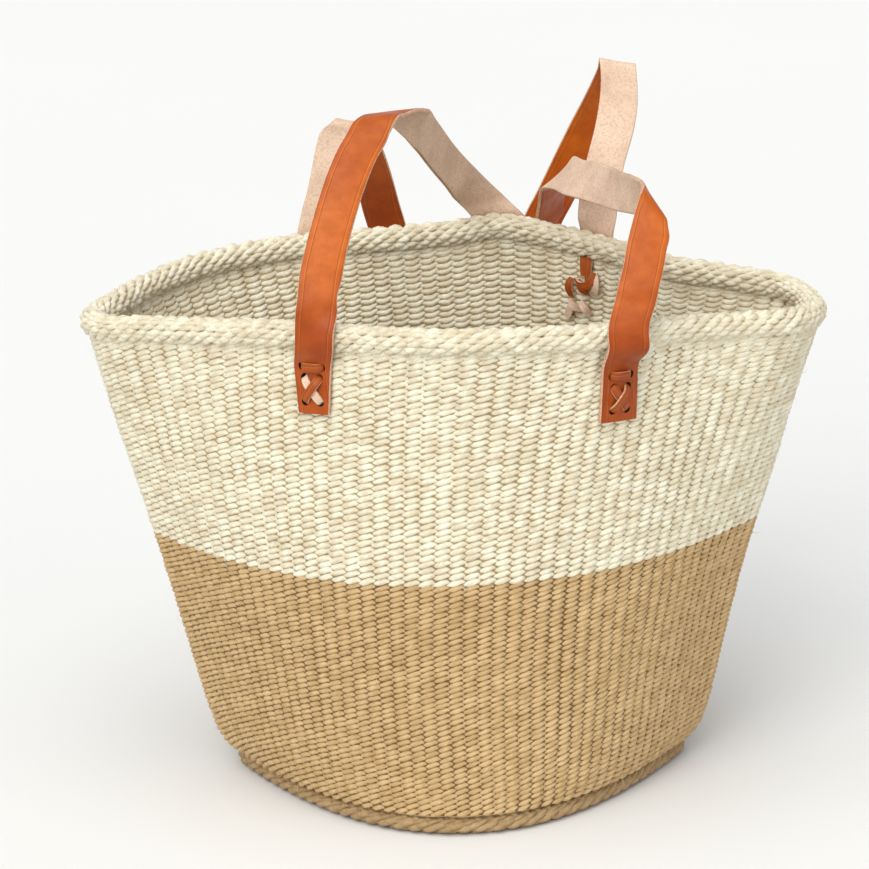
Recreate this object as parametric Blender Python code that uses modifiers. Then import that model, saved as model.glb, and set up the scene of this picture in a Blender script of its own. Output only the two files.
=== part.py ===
"""Kiondo basket: a woven sisal bag with a plaited rim and two laced leather handles.

The base stands on z = 0, +X is to the right and the front is at -Y. Units are metres.
"""

import math

import bmesh
import bpy
import numpy as np
from mathutils import Matrix, Vector

NAME = "kiondo_basket"
GAP = 0.0006

# Side wall, as oval sections y = b (1 - |x/a|^n) at two heights and a shaped mouth above them.
WALL_THICK = 0.005
WALL_FOOT_Z = 0.0124
WALL_FOOT = (0.130, 0.1165, 2.1)
COLOUR_LINE_Z = 0.144
COLOUR_LINE = (0.171, 0.109, 2.25)
# The sides are fuller just above the foot: by BULGE times t / (t + BULGE_START) (1 - 2t)^2 of their length.
BULGE = 0.074
BULGE_START = 0.02
TIP_ROUND = 0.009
AROUND = 52
LOWER_LEVELS = (0.0, 0.035, 0.11, 0.23, 0.36)
UPPER_RINGS = 4

# Base: a flat disc inside a round ridge.
DISC_THICK = 0.005
DISC = (0.1195, 0.1077, 2.1)
RIDGE_RADIUS = 0.0055
RIDGE_Z = 0.0058
RIDGE = (0.126, 0.114, 2.1)

# Mouth: the top line of the rim roll, from the left tip along the back, then back along the front.
ROLL_RADIUS = 0.0075
ROLL_GAP = 0.0008
MOUTH_BACK = (
    (-0.199, -0.002, 0.276), (-0.187, 0.028, 0.278), (-0.150, 0.076, 0.283), (-0.100, 0.104, 0.286),
    (-0.050, 0.107, 0.289), (0.006, 0.113, 0.291), (0.028, 0.114, 0.294), (0.058, 0.106, 0.290),
    (0.100, 0.076, 0.285), (0.130, 0.054, 0.281), (0.160, 0.050, 0.277), (0.188, 0.046, 0.272),
)
MOUTH_FRONT = (
    (0.2035, 0.010, 0.269), (0.190, -0.030, 0.273), (0.150, -0.054, 0.278), (0.112, -0.076, 0.283),
    (0.076, -0.101, 0.287), (0.045, -0.111, 0.289), (0.005, -0.114, 0.290), (-0.040, -0.101, 0.289),
    (-0.086, -0.078, 0.287), (-0.129, -0.058, 0.284), (-0.171, -0.035, 0.280), (-0.187, -0.026, 0.278),
)

# Leather straps.
STRAP_WIDTH = 0.0225
STRAP_THICK = 0.0025
ROW_PITCH = 0.009
TAB_STANDOFF = 0.0046
TAB_LEAN = 0.12
HINGE_GAP = 0.003

# Folds at the rim: the front one runs along X, the back one from its left point to its right point.
FRONT_HINGE = Vector((0.0, -0.095, 0.300))
BACK_HINGE_LEFT = Vector((-0.076, 0.115, 0.297))
BACK_HINGE_RIGHT = Vector((0.086, 0.101, 0.297))
# Folds at the tops of the straps.
FRONT_FOLD_LEFT = Vector((-0.0405, -0.0465, 0.3820))
FRONT_FOLD_RIGHT = Vector((0.104, -0.067, 0.352))
BACK_FOLD_LEFT = Vector((-0.053, 0.130, 0.350))
BACK_FOLD_RIGHT = Vector((0.1015, 0.140, 0.377))

# Tabs: side, the X of the bottom and of the top, the height of the bottom, the width there, and how far the strap
# has turned to its fold where it passes the rim.
TABS = {
    "front_left": ("front", -0.0723, -0.0712, 0.2385, 0.0183, 0.25),
    "front_right": ("front", 0.0865, 0.0995, 0.2312, 0.0235, 0.9),
    "back_left": ("back", -0.079, -0.0742, 0.2350, 0.0205, 0.0),
    "back_right": ("back", 0.083, 0.0870, 0.2350, 0.0205, 0.0),
}

# Straps as pairs of points on their outer and inner edges. The outer edge is the outer side of the loop.
FRONT_LEFT_RISER = (
    ((-0.0815, -0.0935, 0.3026), (-0.0600, -0.0935, 0.3026)), ((-0.080, -0.087, 0.314), (-0.0575, -0.088, 0.311)),
    ((-0.076, -0.078, 0.329), (-0.054, -0.080, 0.326)), ((-0.0708, -0.069, 0.345), (-0.049, -0.071, 0.342)),
    ((-0.0643, -0.059, 0.362), (-0.0432, -0.062, 0.357)), ((-0.0578, -0.052, 0.375), (-0.0368, -0.054, 0.370)),
    ((-0.0525, -0.0465, 0.3825), (-0.0315, -0.0495, 0.3780)),
)
FRONT_RIGHT_RISER = (
    ((0.1121, -0.0935, 0.3026), (0.0897, -0.0935, 0.3026)), ((0.115, -0.088, 0.312), (0.0937, -0.086, 0.315)),
    ((0.117, -0.083, 0.321), (0.0965, -0.080, 0.327)), ((0.119, -0.079, 0.329), (0.100, -0.074, 0.338)),
    ((0.118, -0.0765, 0.334), (0.104, -0.0675, 0.349)),
)
FRONT_MIDDLE = (
    ((-0.0503, -0.0425, 0.3855), (-0.0298, -0.047, 0.3818)),
    ((-0.0462, -0.0330, 0.3868), (-0.0258, -0.0425, 0.3880)),
    ((-0.0411, -0.019, 0.3851), (-0.0209, -0.0282, 0.3872)),
    ((-0.0344, -0.0061, 0.3812), (-0.0143, -0.0145, 0.3865)), ((-0.0269, 0.0031, 0.372), (-0.0082, -0.0007, 0.383)),
    ((-0.0178, 0.008, 0.3606), (-0.0076, 0.0149, 0.3788)), ((-0.014, 0.0201, 0.353), (-0.0059, 0.0285, 0.3721)),
    ((-0.0116, 0.0332, 0.3462), (-0.0034, 0.0417, 0.3651)), ((-0.009, 0.0461, 0.3393), (-0.0009, 0.0549, 0.3581)),
    ((-0.0061, 0.0578, 0.3325), (0.0019, 0.0689, 0.3503)), ((-0.003, 0.069, 0.3258), (0.0055, 0.0828, 0.3419)),
    ((0.0001, 0.0799, 0.319), (0.0101, 0.0963, 0.333)), ((0.0026, 0.0908, 0.3124), (0.0163, 0.1088, 0.3232)),
    ((0.0045, 0.1021, 0.3063), (0.0244, 0.1191, 0.3122)), ((0.0077, 0.1133, 0.3), (0.0346, 0.1249, 0.3005)),
    ((0.0142, 0.1212, 0.2909), (0.0456, 0.1262, 0.2881)), ((0.018, 0.1275, 0.282), (0.0478, 0.1308, 0.283)),
    ((0.029, 0.1335, 0.269), (0.0486, 0.1328, 0.2818)), ((0.0405, 0.1345, 0.261), (0.051, 0.133, 0.282)),
    ((0.048, 0.131, 0.264), (0.058, 0.133, 0.2835)), ((0.0515, 0.1245, 0.274), (0.066, 0.132, 0.287)),
    ((0.052, 0.119, 0.287), (0.0685, 0.129, 0.2985)), ((0.0535, 0.1095, 0.3), (0.071, 0.1165, 0.312)),
    ((0.055, 0.099, 0.311), (0.0725, 0.101, 0.325)),
    ((0.061, 0.087, 0.314), (0.074, 0.09, 0.332)), ((0.067, 0.066, 0.316), (0.079, 0.07, 0.335)),
    ((0.075, 0.044, 0.319), (0.085, 0.047, 0.339)), ((0.085, 0.018, 0.322), (0.092, 0.021, 0.343)),
    ((0.094, -0.008, 0.325), (0.097, -0.004, 0.346)), ((0.103, -0.032, 0.329), (0.101, -0.028, 0.35)),
    ((0.113, -0.053, 0.332), (0.106, -0.0495, 0.351)),
)
BACK_LEFT_RISER = (
    ((-0.0838, 0.1168, 0.3000), (-0.0610, 0.1148, 0.3000)), ((-0.0815, 0.1185, 0.307), (-0.0588, 0.1165, 0.306)),
    ((-0.0782, 0.121, 0.320), (-0.0558, 0.119, 0.318)), ((-0.0747, 0.125, 0.335), (-0.0528, 0.123, 0.333)),
    ((-0.0718, 0.1265, 0.343), (-0.0492, 0.1245, 0.341)), ((-0.066, 0.1265, 0.3475), (-0.044, 0.1255, 0.346)),
)
BACK_RIGHT_RISER = (
    ((0.0990, 0.1020, 0.3000), (0.0765, 0.1040, 0.3000)), ((0.1025, 0.109, 0.318), (0.0805, 0.111, 0.320)),
    ((0.1105, 0.120, 0.344), (0.088, 0.1225, 0.345)), ((0.1125, 0.1255, 0.3555), (0.0905, 0.1275, 0.3575)),
    ((0.1125, 0.1305, 0.367), (0.0915, 0.133, 0.371)), ((0.112, 0.134, 0.374), (0.091, 0.1365, 0.378)),
)
BACK_MIDDLE = (
    ((-0.062, 0.139, 0.346), (-0.042, 0.138, 0.341)), ((-0.058, 0.150, 0.332), (-0.037, 0.148, 0.326)),
    ((-0.053, 0.162, 0.308), (-0.032, 0.161, 0.306)), ((-0.051, 0.172, 0.287), (-0.0285, 0.172, 0.288)),
    ((-0.047, 0.180, 0.268), (-0.0245, 0.180, 0.270)), ((-0.0415, 0.183, 0.240), (-0.020, 0.188, 0.242)),
    ((-0.031, 0.180, 0.205), (-0.0155, 0.195, 0.209)), ((-0.018, 0.176, 0.172), (-0.010, 0.196, 0.176)),
    ((-0.003, 0.174, 0.146), (-0.001, 0.196, 0.148)), ((0.010, 0.174, 0.137), (0.010, 0.1965, 0.137)),
    ((0.025, 0.174, 0.146), (0.021, 0.196, 0.149)), ((0.040, 0.177, 0.172), (0.030, 0.196, 0.177)),
    ((0.052, 0.182, 0.205), (0.0365, 0.197, 0.210)), ((0.061, 0.189, 0.238), (0.0405, 0.196, 0.244)),
    ((0.067, 0.194, 0.262), (0.046, 0.193, 0.270)), ((0.076, 0.1935, 0.2795), (0.055, 0.1925, 0.2875)),
    ((0.085, 0.191, 0.299), (0.064, 0.190, 0.3065)), ((0.0945, 0.1855, 0.3195), (0.0735, 0.1845, 0.327)),
    ((0.1045, 0.171, 0.3425), (0.0835, 0.170, 0.350)), ((0.1115, 0.151, 0.364), (0.0905, 0.1495, 0.371)),
)

# Lacing, in the plane of a tab: u across, v up, w outwards from the middle of the wall.
THONG_WIDTH = 0.005
THONG_THICK = 0.0015
PIN_SIZE = (0.0038, 0.0014)
HOLE_RADIUS = 0.0025
CROSS_UP = 0.0125
CROSS_HALF = (0.0045, 0.0065)
BAR_UP = 0.0145
BAR_HALF = 0.006
BAR_SIZE = (0.0125, 0.0055)
THONG_OUTSIDE_W = 0.0070
BAR_W = 0.0097
THONG_INSIDE_W = -0.0046
KNOT_RADIUS = 0.0045

# Colours, linear, and roughness.
SISAL_CREAM = ((0.80, 0.71, 0.51), 0.85)
SISAL_TAN = ((0.60, 0.40, 0.20), 0.85)
LEATHER = ((0.56, 0.11, 0.016), 0.45)
LEATHER_THONG = ((0.60, 0.14, 0.03), 0.5)


def clear_scene():
    for obj in list(bpy.data.objects):
        bpy.data.objects.remove(obj)


def new_collection(name, parent):
    collection = bpy.data.collections.new(name)
    parent.children.link(collection)
    return collection


def material(name, colour, roughness):
    found = bpy.data.materials.new(name)
    found.use_nodes = True
    shader = found.node_tree.nodes["Principled BSDF"]
    shader.inputs["Base Color"].default_value = (*colour, 1.0)
    shader.inputs["Roughness"].default_value = roughness
    shader.inputs["Metallic"].default_value = 0.0
    return found


def link_mesh(name, bm, collection, look=None, parent=None):
    """A mesh object from bm, whose points are given in world space, carried by parent if there is one."""
    if parent:
        bmesh.ops.translate(bm, verts=bm.verts, vec=-parent.matrix_world.translation)
    mesh = bpy.data.meshes.new(name)
    bm.to_mesh(mesh)
    bm.free()
    mesh.shade_smooth()
    mesh.set_sharp_from_angle(angle=math.radians(40))
    obj = bpy.data.objects.new(name, mesh)
    obj.parent = parent
    if look:
        mesh.materials.append(material(name, *look))
    collection.objects.link(obj)
    return obj


# Curves as arrays of points.

def smooth_through(points, closed=False, per_span=16):
    """Close points along a smooth curve through these, with per_span of them to each span."""
    points = np.array(points, float)
    count = len(points)
    if closed:
        before, after = np.roll(points, 1, axis=0), np.roll(points, -1, axis=0)
    else:
        before = np.vstack([2 * points[0] - points[1], points[:-1]])
        after = np.vstack([points[1:], 2 * points[-1] - points[-2]])
    into = np.linalg.norm(points - before, axis=1)[:, None]
    out = np.linalg.norm(after - points, axis=1)[:, None]
    slopes = ((points - before) / into * out + (after - points) / out * into) / (into + out)
    steps = np.arange(per_span)[:, None] / per_span
    line = []
    for i in range(count if closed else count - 1):
        j = (i + 1) % count
        length = out[i]
        h00, h10 = 2 * steps**3 - 3 * steps**2 + 1, steps**3 - 2 * steps**2 + steps
        h01, h11 = 3 * steps**2 - 2 * steps**3, steps**3 - steps**2
        line.append(h00 * points[i] + h10 * length * slopes[i] + h01 * points[j] + h11 * length * slopes[j])
    if not closed:
        line.append(points[-1:])
    return np.vstack(line)


def lengths_along(points):
    return np.concatenate([[0.0], np.cumsum(np.linalg.norm(np.diff(points, axis=0), axis=1))])


def spread(points, count):
    """count + 1 points evenly spaced along an open line."""
    along = lengths_along(points)
    wanted = np.linspace(0, along[-1], count + 1)
    return np.stack([np.interp(wanted, along, points[:, k]) for k in range(points.shape[1])], axis=1)


def ring_of(back, front):
    """One ring of AROUND points from its two halves: left tip, back, right tip, front."""
    return np.vstack([spread(back, AROUND // 2)[:-1], spread(front, AROUND // 2)[:-1]])


def oval(half_length, half_width, power, z):
    """A ring whose sides are y = b (1 - |x/a|^n), with its two tips rounded a little."""
    u = np.linspace(0, math.pi, 240)
    x = -half_length * np.cos(u)
    y = half_width * (1 - np.abs(x / half_length) ** power)
    flat = np.full_like(x, z)
    ring = ring_of(np.stack([x, y, flat], axis=1), np.stack([-x, -y, flat], axis=1))
    pitch = np.linalg.norm(ring[1] - ring[0])
    share = min(0.5, TIP_ROUND / pitch / 3)
    for tip in (0, AROUND // 2):
        beside = (ring[tip - 1] + ring[(tip + 1) % AROUND]) / 2
        ring[tip] = ring[tip] * (1 - share) + beside * share
    return ring


def mouth_ring(drop):
    """The ring this far below the top line of the rim roll."""
    per_span = 16
    line = smooth_through(MOUTH_BACK + MOUTH_FRONT, closed=True, per_span=per_span)
    right_tip = len(MOUTH_BACK) * per_span
    back = line[: right_tip + 1]
    front = np.vstack([line[right_tip:], line[:1]])
    return ring_of(back, front) - np.array([0.0, 0.0, drop])


def wall_ring(t):
    """The middle of the wall's thickness at t: 0 at the foot, 0.5 at the colour line, 1 at the rim."""
    foot = oval(*WALL_FOOT, WALL_FOOT_Z)
    middle = oval(*COLOUR_LINE, COLOUR_LINE_Z)
    top = mouth_ring(2 * ROLL_RADIUS + ROLL_GAP)
    ring = foot * (1 - t) * (1 - 2 * t) + middle * 4 * t * (1 - t) + top * t * (2 * t - 1)
    if t < 0.5:
        ring[:, 0] *= 1 + BULGE * t / (t + BULGE_START) * (1 - 2 * t) ** 2
    return ring


def point_at(ring, side, x):
    """The point of a ring's front or back at this x, and the unit direction of the ring there, towards +X."""
    half = AROUND // 2
    line = ring[: half + 1] if side == "back" else np.vstack([ring[half:], ring[:1]])[::-1]
    along = lengths_along(line)
    here = np.interp(x, line[:, 0], along)
    ends = [
        np.array([np.interp(here + step, along, line[:, k]) for k in range(3)])
        for step in (-STRAP_WIDTH / 2, 0.0, STRAP_WIDTH / 2)
    ]
    direction = ends[2] - ends[0]
    return Vector(ends[1]), Vector(direction).normalized()


def wall_frame(side, x, z):
    """Where the wall is at this x and height: the point, and the directions across, up and out."""
    levels = np.linspace(0.6, 1.0, 41)
    spots = [point_at(wall_ring(t), side, x)[0] for t in levels]
    t = np.interp(z, [spot.z for spot in spots], levels)
    spot, across = point_at(wall_ring(t), side, x)
    below = point_at(wall_ring(t - 0.02), side, x)[0]
    above = point_at(wall_ring(t + 0.02), side, x)[0]
    out = across.cross(above - below).normalized()
    if (out.y > 0) != (side == "back"):
        out = -out
    up = out.cross(across) if side == "back" else across.cross(out)
    return spot, across, up if up.z > 0 else -up, out


# Woven parts.

def skin_object(name, rings, collection, look):
    """An open wall through rings of points, one ring extruded from the last, with its thickness added."""
    bm = bmesh.new()
    place = bm.verts.layers.int.new("place")
    circle = bmesh.ops.create_circle(bm, cap_ends=False, radius=1, segments=AROUND)["verts"]
    for i, vert in enumerate(circle):
        vert[place] = i
        vert.co = rings[0][i]
    edges = list(bm.edges)
    for ring in rings[1:]:
        made = bmesh.ops.extrude_edge_only(bm, edges=edges)["geom"]
        for vert in (item for item in made if isinstance(item, bmesh.types.BMVert)):
            vert.co = ring[vert[place]]
        edges = [
            item for item in made
            if isinstance(item, bmesh.types.BMEdge) and len(item.link_faces) == 1
        ]
    bmesh.ops.recalc_face_normals(bm, faces=bm.faces)
    obj = link_mesh(name, bm, collection, look)
    solidify = obj.modifiers.new("thickness", "SOLIDIFY")
    solidify.thickness = WALL_THICK
    solidify.offset = 0
    solidify.use_even_offset = True
    return obj


def roll_object(name, ring, radius, collection, look):
    """A closed round roll along a ring."""
    curve = bpy.data.curves.new(name, "CURVE")
    curve.dimensions = "3D"
    curve.bevel_depth = radius
    curve.bevel_resolution = 2
    line = curve.splines.new("POLY")
    line.points.add(len(ring) - 1)
    for point, place in zip(line.points, ring):
        point.co = (*place, 1.0)
    line.use_cyclic_u = True
    curve.materials.append(material(name, *look))
    obj = bpy.data.objects.new(name, curve)
    collection.objects.link(obj)
    return obj


def disc_object(name, ring, collection, look):
    """A flat plate with this outline, its underside at z = 0."""
    curve = bpy.data.curves.new(name, "CURVE")
    curve.dimensions = "2D"
    curve.fill_mode = "BOTH"
    curve.extrude = DISC_THICK / 2
    line = curve.splines.new("POLY")
    line.points.add(len(ring) - 1)
    for point, place in zip(line.points, ring):
        point.co = (place[0], place[1], 0.0, 1.0)
    line.use_cyclic_u = True
    curve.materials.append(material(name, *look))
    obj = bpy.data.objects.new(name, curve)
    obj.location.z = DISC_THICK / 2
    collection.objects.link(obj)
    return obj


def woven_parts(collection):
    """The base, the two colours of the wall and the rim. Returns the upper wall, which is laced through."""
    disc_object("base_disc", oval(*DISC, 0.0), collection, SISAL_TAN)
    roll_object("base_ridge", oval(*RIDGE, RIDGE_Z), RIDGE_RADIUS, collection, SISAL_TAN)
    seam = GAP / 2 / (2 * (COLOUR_LINE_Z - WALL_FOOT_Z))
    lower = [wall_ring(t) for t in (*LOWER_LEVELS, 0.5 - seam)]
    upper = [wall_ring(t) for t in np.linspace(0.5 + seam, 1.0, UPPER_RINGS + 1)]
    skin_object("lower_wall", lower, collection, SISAL_TAN)
    roll_object("rim_roll", mouth_ring(ROLL_RADIUS), ROLL_RADIUS, collection, SISAL_CREAM)
    return skin_object("upper_wall", upper, collection, SISAL_CREAM)


# Leather parts.

def strap_object(name, pairs, collection, parent=None):
    """A flat strap whose two edges are smooth curves through pairs of points."""
    outer = smooth_through([pair[0] for pair in pairs])
    inner = smooth_through([pair[1] for pair in pairs])
    along = lengths_along((outer + inner) / 2)
    rows = max(2, round(along[-1] / ROW_PITCH))
    wanted = np.linspace(0, along[-1], rows + 1)
    edges = [
        np.stack([np.interp(wanted, along, edge[:, k]) for k in range(3)], axis=1)
        for edge in (outer, inner)
    ]
    bm = bmesh.new()
    bmesh.ops.create_grid(bm, x_segments=1, y_segments=rows, size=1)
    for vert in bm.verts:
        edge = edges[round((vert.co.x + 1) / 2)]
        vert.co = edge[round((vert.co.y + 1) / 2 * rows)]
    obj = link_mesh(name, bm, collection, LEATHER, parent)
    solidify = obj.modifiers.new("thickness", "SOLIDIFY")
    solidify.thickness = STRAP_THICK
    solidify.offset = 0
    return obj


def tab_pairs(side, x_bottom, x_top, z_bottom, foot_width, ease):
    """The edges of a tab: up the outside of the wall, over the rim roll, and turned to lie along the fold.

    ease is how far the strap has already turned to the fold where it passes the roll, from 0 to 1.
    """
    roll = mouth_ring(ROLL_RADIUS)
    roll_spot, roll_across = point_at(roll, side, x_bottom)
    outward = Vector((roll_across.y, -roll_across.x, 0.0)).normalized()
    if (outward.y > 0) != (side == "back"):
        outward = -outward
    halves = np.linspace(foot_width, max(foot_width, STRAP_WIDTH), 4) / 2
    heights = np.linspace(z_bottom, roll_spot.z - ROLL_RADIUS - 0.009, 4)
    leaning = np.linspace(x_bottom, x_bottom + TAB_LEAN * (x_top - x_bottom), 4)
    pairs = []
    for z, x, half in zip(heights, leaning, halves):
        spot, across, _, out = wall_frame(side, x, z)
        middle = spot + out * TAB_STANDOFF
        pairs.append((middle - across * half, middle + across * half))
    half = STRAP_WIDTH / 2
    reach = ROLL_RADIUS + TAB_STANDOFF - WALL_THICK / 2
    x_roll = (middle.x + x_top) / 2
    if side == "front":
        axis = Vector((1, 0, 0))
        top = Vector((x_top, FRONT_HINGE.y, FRONT_HINGE.z))
    else:
        axis = (BACK_HINGE_RIGHT - BACK_HINGE_LEFT).normalized()
        top = BACK_HINGE_LEFT + axis * ((x_top - BACK_HINGE_LEFT.x) / axis.x)
    for rise, extra, share in ((-0.002, 0.0004, 0.75), (0.004, -0.0003, 0.75)):
        across = roll_across.lerp(axis, ease * share).normalized()
        away = reach + half * abs(across.dot(outward))
        roll_spot = point_at(roll, side, x_roll - outward.x * away)[0]
        middle = roll_spot + outward * (away + extra) + Vector((0, 0, rise))
        pairs.append((middle - across * half, middle + across * half))
    top = top - Vector((0, 0, HINGE_GAP))
    pairs.append((top - axis * half, top + axis * half))
    return pairs


def lace_places():
    """Where the thong goes through, across and up from the middle of the cross: its four ends and the bar's."""
    u, v = CROSS_HALF
    return [(-u, -v), (u, -v), (-u, v), (u, v), (-BAR_HALF, BAR_UP), (BAR_HALF, BAR_UP)]


def frame_matrix(frame):
    spot, across, up, out = frame
    turn = Matrix((across, up, out)).transposed()
    return Matrix.Translation(spot) @ turn.to_4x4()


def hole_cutter(name, frame, cutters):
    """Round pins where the thong goes through the tab and the wall."""
    bm = bmesh.new()
    for u, v in lace_places():
        place = frame_matrix(frame) @ Matrix.Translation((u, v, 0.004))
        bmesh.ops.create_cone(
            bm, cap_ends=True, segments=8, radius1=HOLE_RADIUS, radius2=HOLE_RADIUS, depth=0.022, matrix=place
        )
    bmesh.ops.recalc_face_normals(bm, faces=bm.faces)
    cutter = link_mesh(name, bm, cutters)
    cutter.hide_render = True
    cutter.display_type = "WIRE"
    return cutter


def block(bm, frame, centre, size, turn=0.0):
    place = frame_matrix(frame) @ Matrix.Translation(centre) @ Matrix.Rotation(turn, 4, "Z")
    bmesh.ops.create_cube(bm, size=1, matrix=place @ Matrix.Diagonal((*size, 1.0)))


def lace_object(name, frame, collection, cutters):
    """One thong: a bar and a cross outside the tab, its pins through the holes, and its runs and knot inside."""
    shapes = new_collection(f"{name}_shapes", cutters)
    u, v = CROSS_HALF
    slant = math.atan2(v, u)
    cross_length = 2 * math.hypot(u, v) + PIN_SIZE[0] / 2
    plan = [
        ((0, 0, THONG_OUTSIDE_W), (cross_length, THONG_WIDTH, THONG_THICK), slant),
        ((0, 0, THONG_OUTSIDE_W), (cross_length, THONG_WIDTH, THONG_THICK), -slant),
    ]
    for pin_u, pin_v in lace_places():
        top = BAR_W if pin_v == BAR_UP else THONG_OUTSIDE_W
        middle = (top + THONG_INSIDE_W) / 2
        plan.append(((pin_u, pin_v, middle), (*PIN_SIZE, top - THONG_INSIDE_W), 0.0))
    run_length = BAR_UP + v + 0.006
    for sign in (-1, 1):
        run_middle = (BAR_UP - v) / 2
        plan.append(((sign * 0.0052, run_middle, THONG_INSIDE_W), (THONG_WIDTH, run_length, THONG_THICK), 0.0))
    plan.append(((0, BAR_UP / 2, THONG_INSIDE_W), (0.014, THONG_WIDTH, THONG_THICK), 0.0))
    for i, (centre, size, turn) in enumerate(plan):
        bm = bmesh.new()
        block(bm, frame, centre, size, turn)
        helper = link_mesh(f"{name}_shape_{i}", bm, shapes)
        helper.hide_render = True
        helper.display_type = "WIRE"
    bm = bmesh.new()
    knot = frame_matrix(frame) @ Matrix.Translation((0, BAR_UP / 2, THONG_INSIDE_W - KNOT_RADIUS * 0.8))
    bmesh.ops.create_icosphere(bm, subdivisions=2, radius=KNOT_RADIUS, matrix=knot)
    helper = link_mesh(f"{name}_knot", bm, shapes)
    helper.hide_render = True
    helper.display_type = "WIRE"
    bm = bmesh.new()
    block(bm, frame, (0, BAR_UP, BAR_W), (*BAR_SIZE, THONG_THICK))
    lace = link_mesh(name, bm, collection, LEATHER_THONG)
    union = lace.modifiers.new("one thong", "BOOLEAN")
    union.operation = "UNION"
    union.operand_type = "COLLECTION"
    union.collection = shapes


def cut(obj, cutter):
    holes = obj.modifiers.new(cutter.name, "BOOLEAN")
    holes.operation = "DIFFERENCE"
    holes.object = cutter


def fixed_leather(upper_wall, collection, cutters):
    """The four tabs, the holes through them and the wall, and the thongs that lace them on."""
    for corner, (side, x_bottom, x_top, z_bottom, foot_width, ease) in TABS.items():
        pairs = tab_pairs(side, x_bottom, x_top, z_bottom, foot_width, ease)
        tab = strap_object(f"{corner}_tab", pairs, collection)
        frame = wall_frame(side, x_bottom, z_bottom + CROSS_UP)
        cutter = hole_cutter(f"{corner}_holes", frame, cutters)
        cut(tab, cutter)
        cut(upper_wall, cutter)
        lace_object(f"{corner}_lace", frame, collection, cutters)


def axis_empty(name, place, collection, parent=None):
    """An empty on a fold's axis."""
    empty = bpy.data.objects.new(name, None)
    empty.parent = parent
    empty.location = place - (parent.location if parent else Vector())
    collection.objects.link(empty)
    bpy.context.view_layer.update()
    return empty


def handles(collection):
    """The stretches of the two straps that swing and fold."""
    front = axis_empty("front_hinge", FRONT_HINGE, collection)
    back = axis_empty("back_hinge", BACK_HINGE_LEFT, collection)
    front_fold = axis_empty("front_fold", FRONT_FOLD_LEFT, collection, front)
    back_fold = axis_empty("back_fold", BACK_FOLD_LEFT, collection, back)
    strap_object("front_left_riser", FRONT_LEFT_RISER, collection, front)
    strap_object("front_right_riser", FRONT_RIGHT_RISER, collection, front)
    strap_object("front_middle", FRONT_MIDDLE, collection, front_fold)
    strap_object("back_left_riser", BACK_LEFT_RISER, collection, back)
    strap_object("back_right_riser", BACK_RIGHT_RISER, collection, back)
    strap_object("back_middle", BACK_MIDDLE, collection, back_fold)


def main():
    clear_scene()
    collection = new_collection(NAME, bpy.context.scene.collection)
    cutters = new_collection("cutters", bpy.context.scene.collection)
    upper_wall = woven_parts(collection)
    fixed_leather(upper_wall, collection, cutters)
    handles(collection)


if __name__ == "__main__":
    main()
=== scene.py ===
"""Kiondo basket: a woven sisal bag with a plaited rim and two laced leather handles."""

import math

import bmesh
import bpy
import numpy as np
from bpy.props import FloatProperty, FloatVectorProperty, IntProperty, PointerProperty
from mathutils import Matrix, Vector


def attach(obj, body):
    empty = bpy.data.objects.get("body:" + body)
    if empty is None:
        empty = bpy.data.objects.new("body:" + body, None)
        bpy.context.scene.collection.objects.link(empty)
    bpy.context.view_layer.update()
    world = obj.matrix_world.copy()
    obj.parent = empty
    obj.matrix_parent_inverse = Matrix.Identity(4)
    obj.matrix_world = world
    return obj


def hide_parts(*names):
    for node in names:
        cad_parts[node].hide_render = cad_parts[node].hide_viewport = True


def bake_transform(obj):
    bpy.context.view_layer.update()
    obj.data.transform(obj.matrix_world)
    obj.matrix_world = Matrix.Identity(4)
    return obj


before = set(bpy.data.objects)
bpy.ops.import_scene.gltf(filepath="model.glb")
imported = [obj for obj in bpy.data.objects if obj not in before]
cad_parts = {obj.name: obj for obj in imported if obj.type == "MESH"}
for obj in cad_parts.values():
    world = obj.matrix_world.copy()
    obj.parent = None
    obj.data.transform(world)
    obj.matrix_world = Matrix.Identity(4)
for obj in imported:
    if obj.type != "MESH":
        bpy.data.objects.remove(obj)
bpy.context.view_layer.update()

bl_info = {
    "name": "Kiondo basket",
    "version": (1, 0, 0),
    "blender": (4, 5, 0),
    "location": "3D View > Sidebar > Kiondo",
    "description": "Builds a woven sisal basket with leather handles around its solid model",
    "category": "Object",
}

# Shape of the wall: ovals y = b (1 - |x/a|^n) at the foot and at the colour line, each as a, b and n.
WALL_FOOT_Z = 0.0124
WALL_FOOT = (0.130, 0.1165, 2.1)
COLOUR_LINE_Z = 0.144
COLOUR_LINE = (0.171, 0.109, 2.25)
# The sides are fuller just above the foot: by BULGE times t / (t + BULGE_START) (1 - 2t)^2 of their length.
BULGE = 0.074
BULGE_START = 0.02
TIP_ROUND = 0.006
DISC = (0.1195, 0.1077, 2.1)
DISC_Z = 0.0027
RIDGE_RADIUS = 0.0055
RIDGE_Z = 0.0058
RIDGE = (0.126, 0.114, 2.1)
ROLL_RADIUS = 0.0075
ROLL_GAP = 0.0008
WALL_THICK = 0.005
# The top line of the rim roll in millimetres, from the left tip along the back and then back along the front.
MOUTH_BACK = (
    (-199, -2, 276), (-187, 28, 278), (-150, 76, 283), (-100, 104, 286), (-50, 107, 289), (6, 113, 291),
    (28, 114, 294), (58, 106, 290), (100, 76, 285), (130, 54, 281), (160, 50, 277), (188, 46, 272),
)
MOUTH_FRONT = (
    (203.5, 10, 269), (190, -30, 273), (150, -54, 278), (112, -76, 283), (76, -101, 287), (45, -111, 289),
    (5, -114, 290), (-40, -101, 289), (-86, -78, 287), (-129, -58, 284), (-171, -35, 280), (-187, -26, 278),
)

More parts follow.
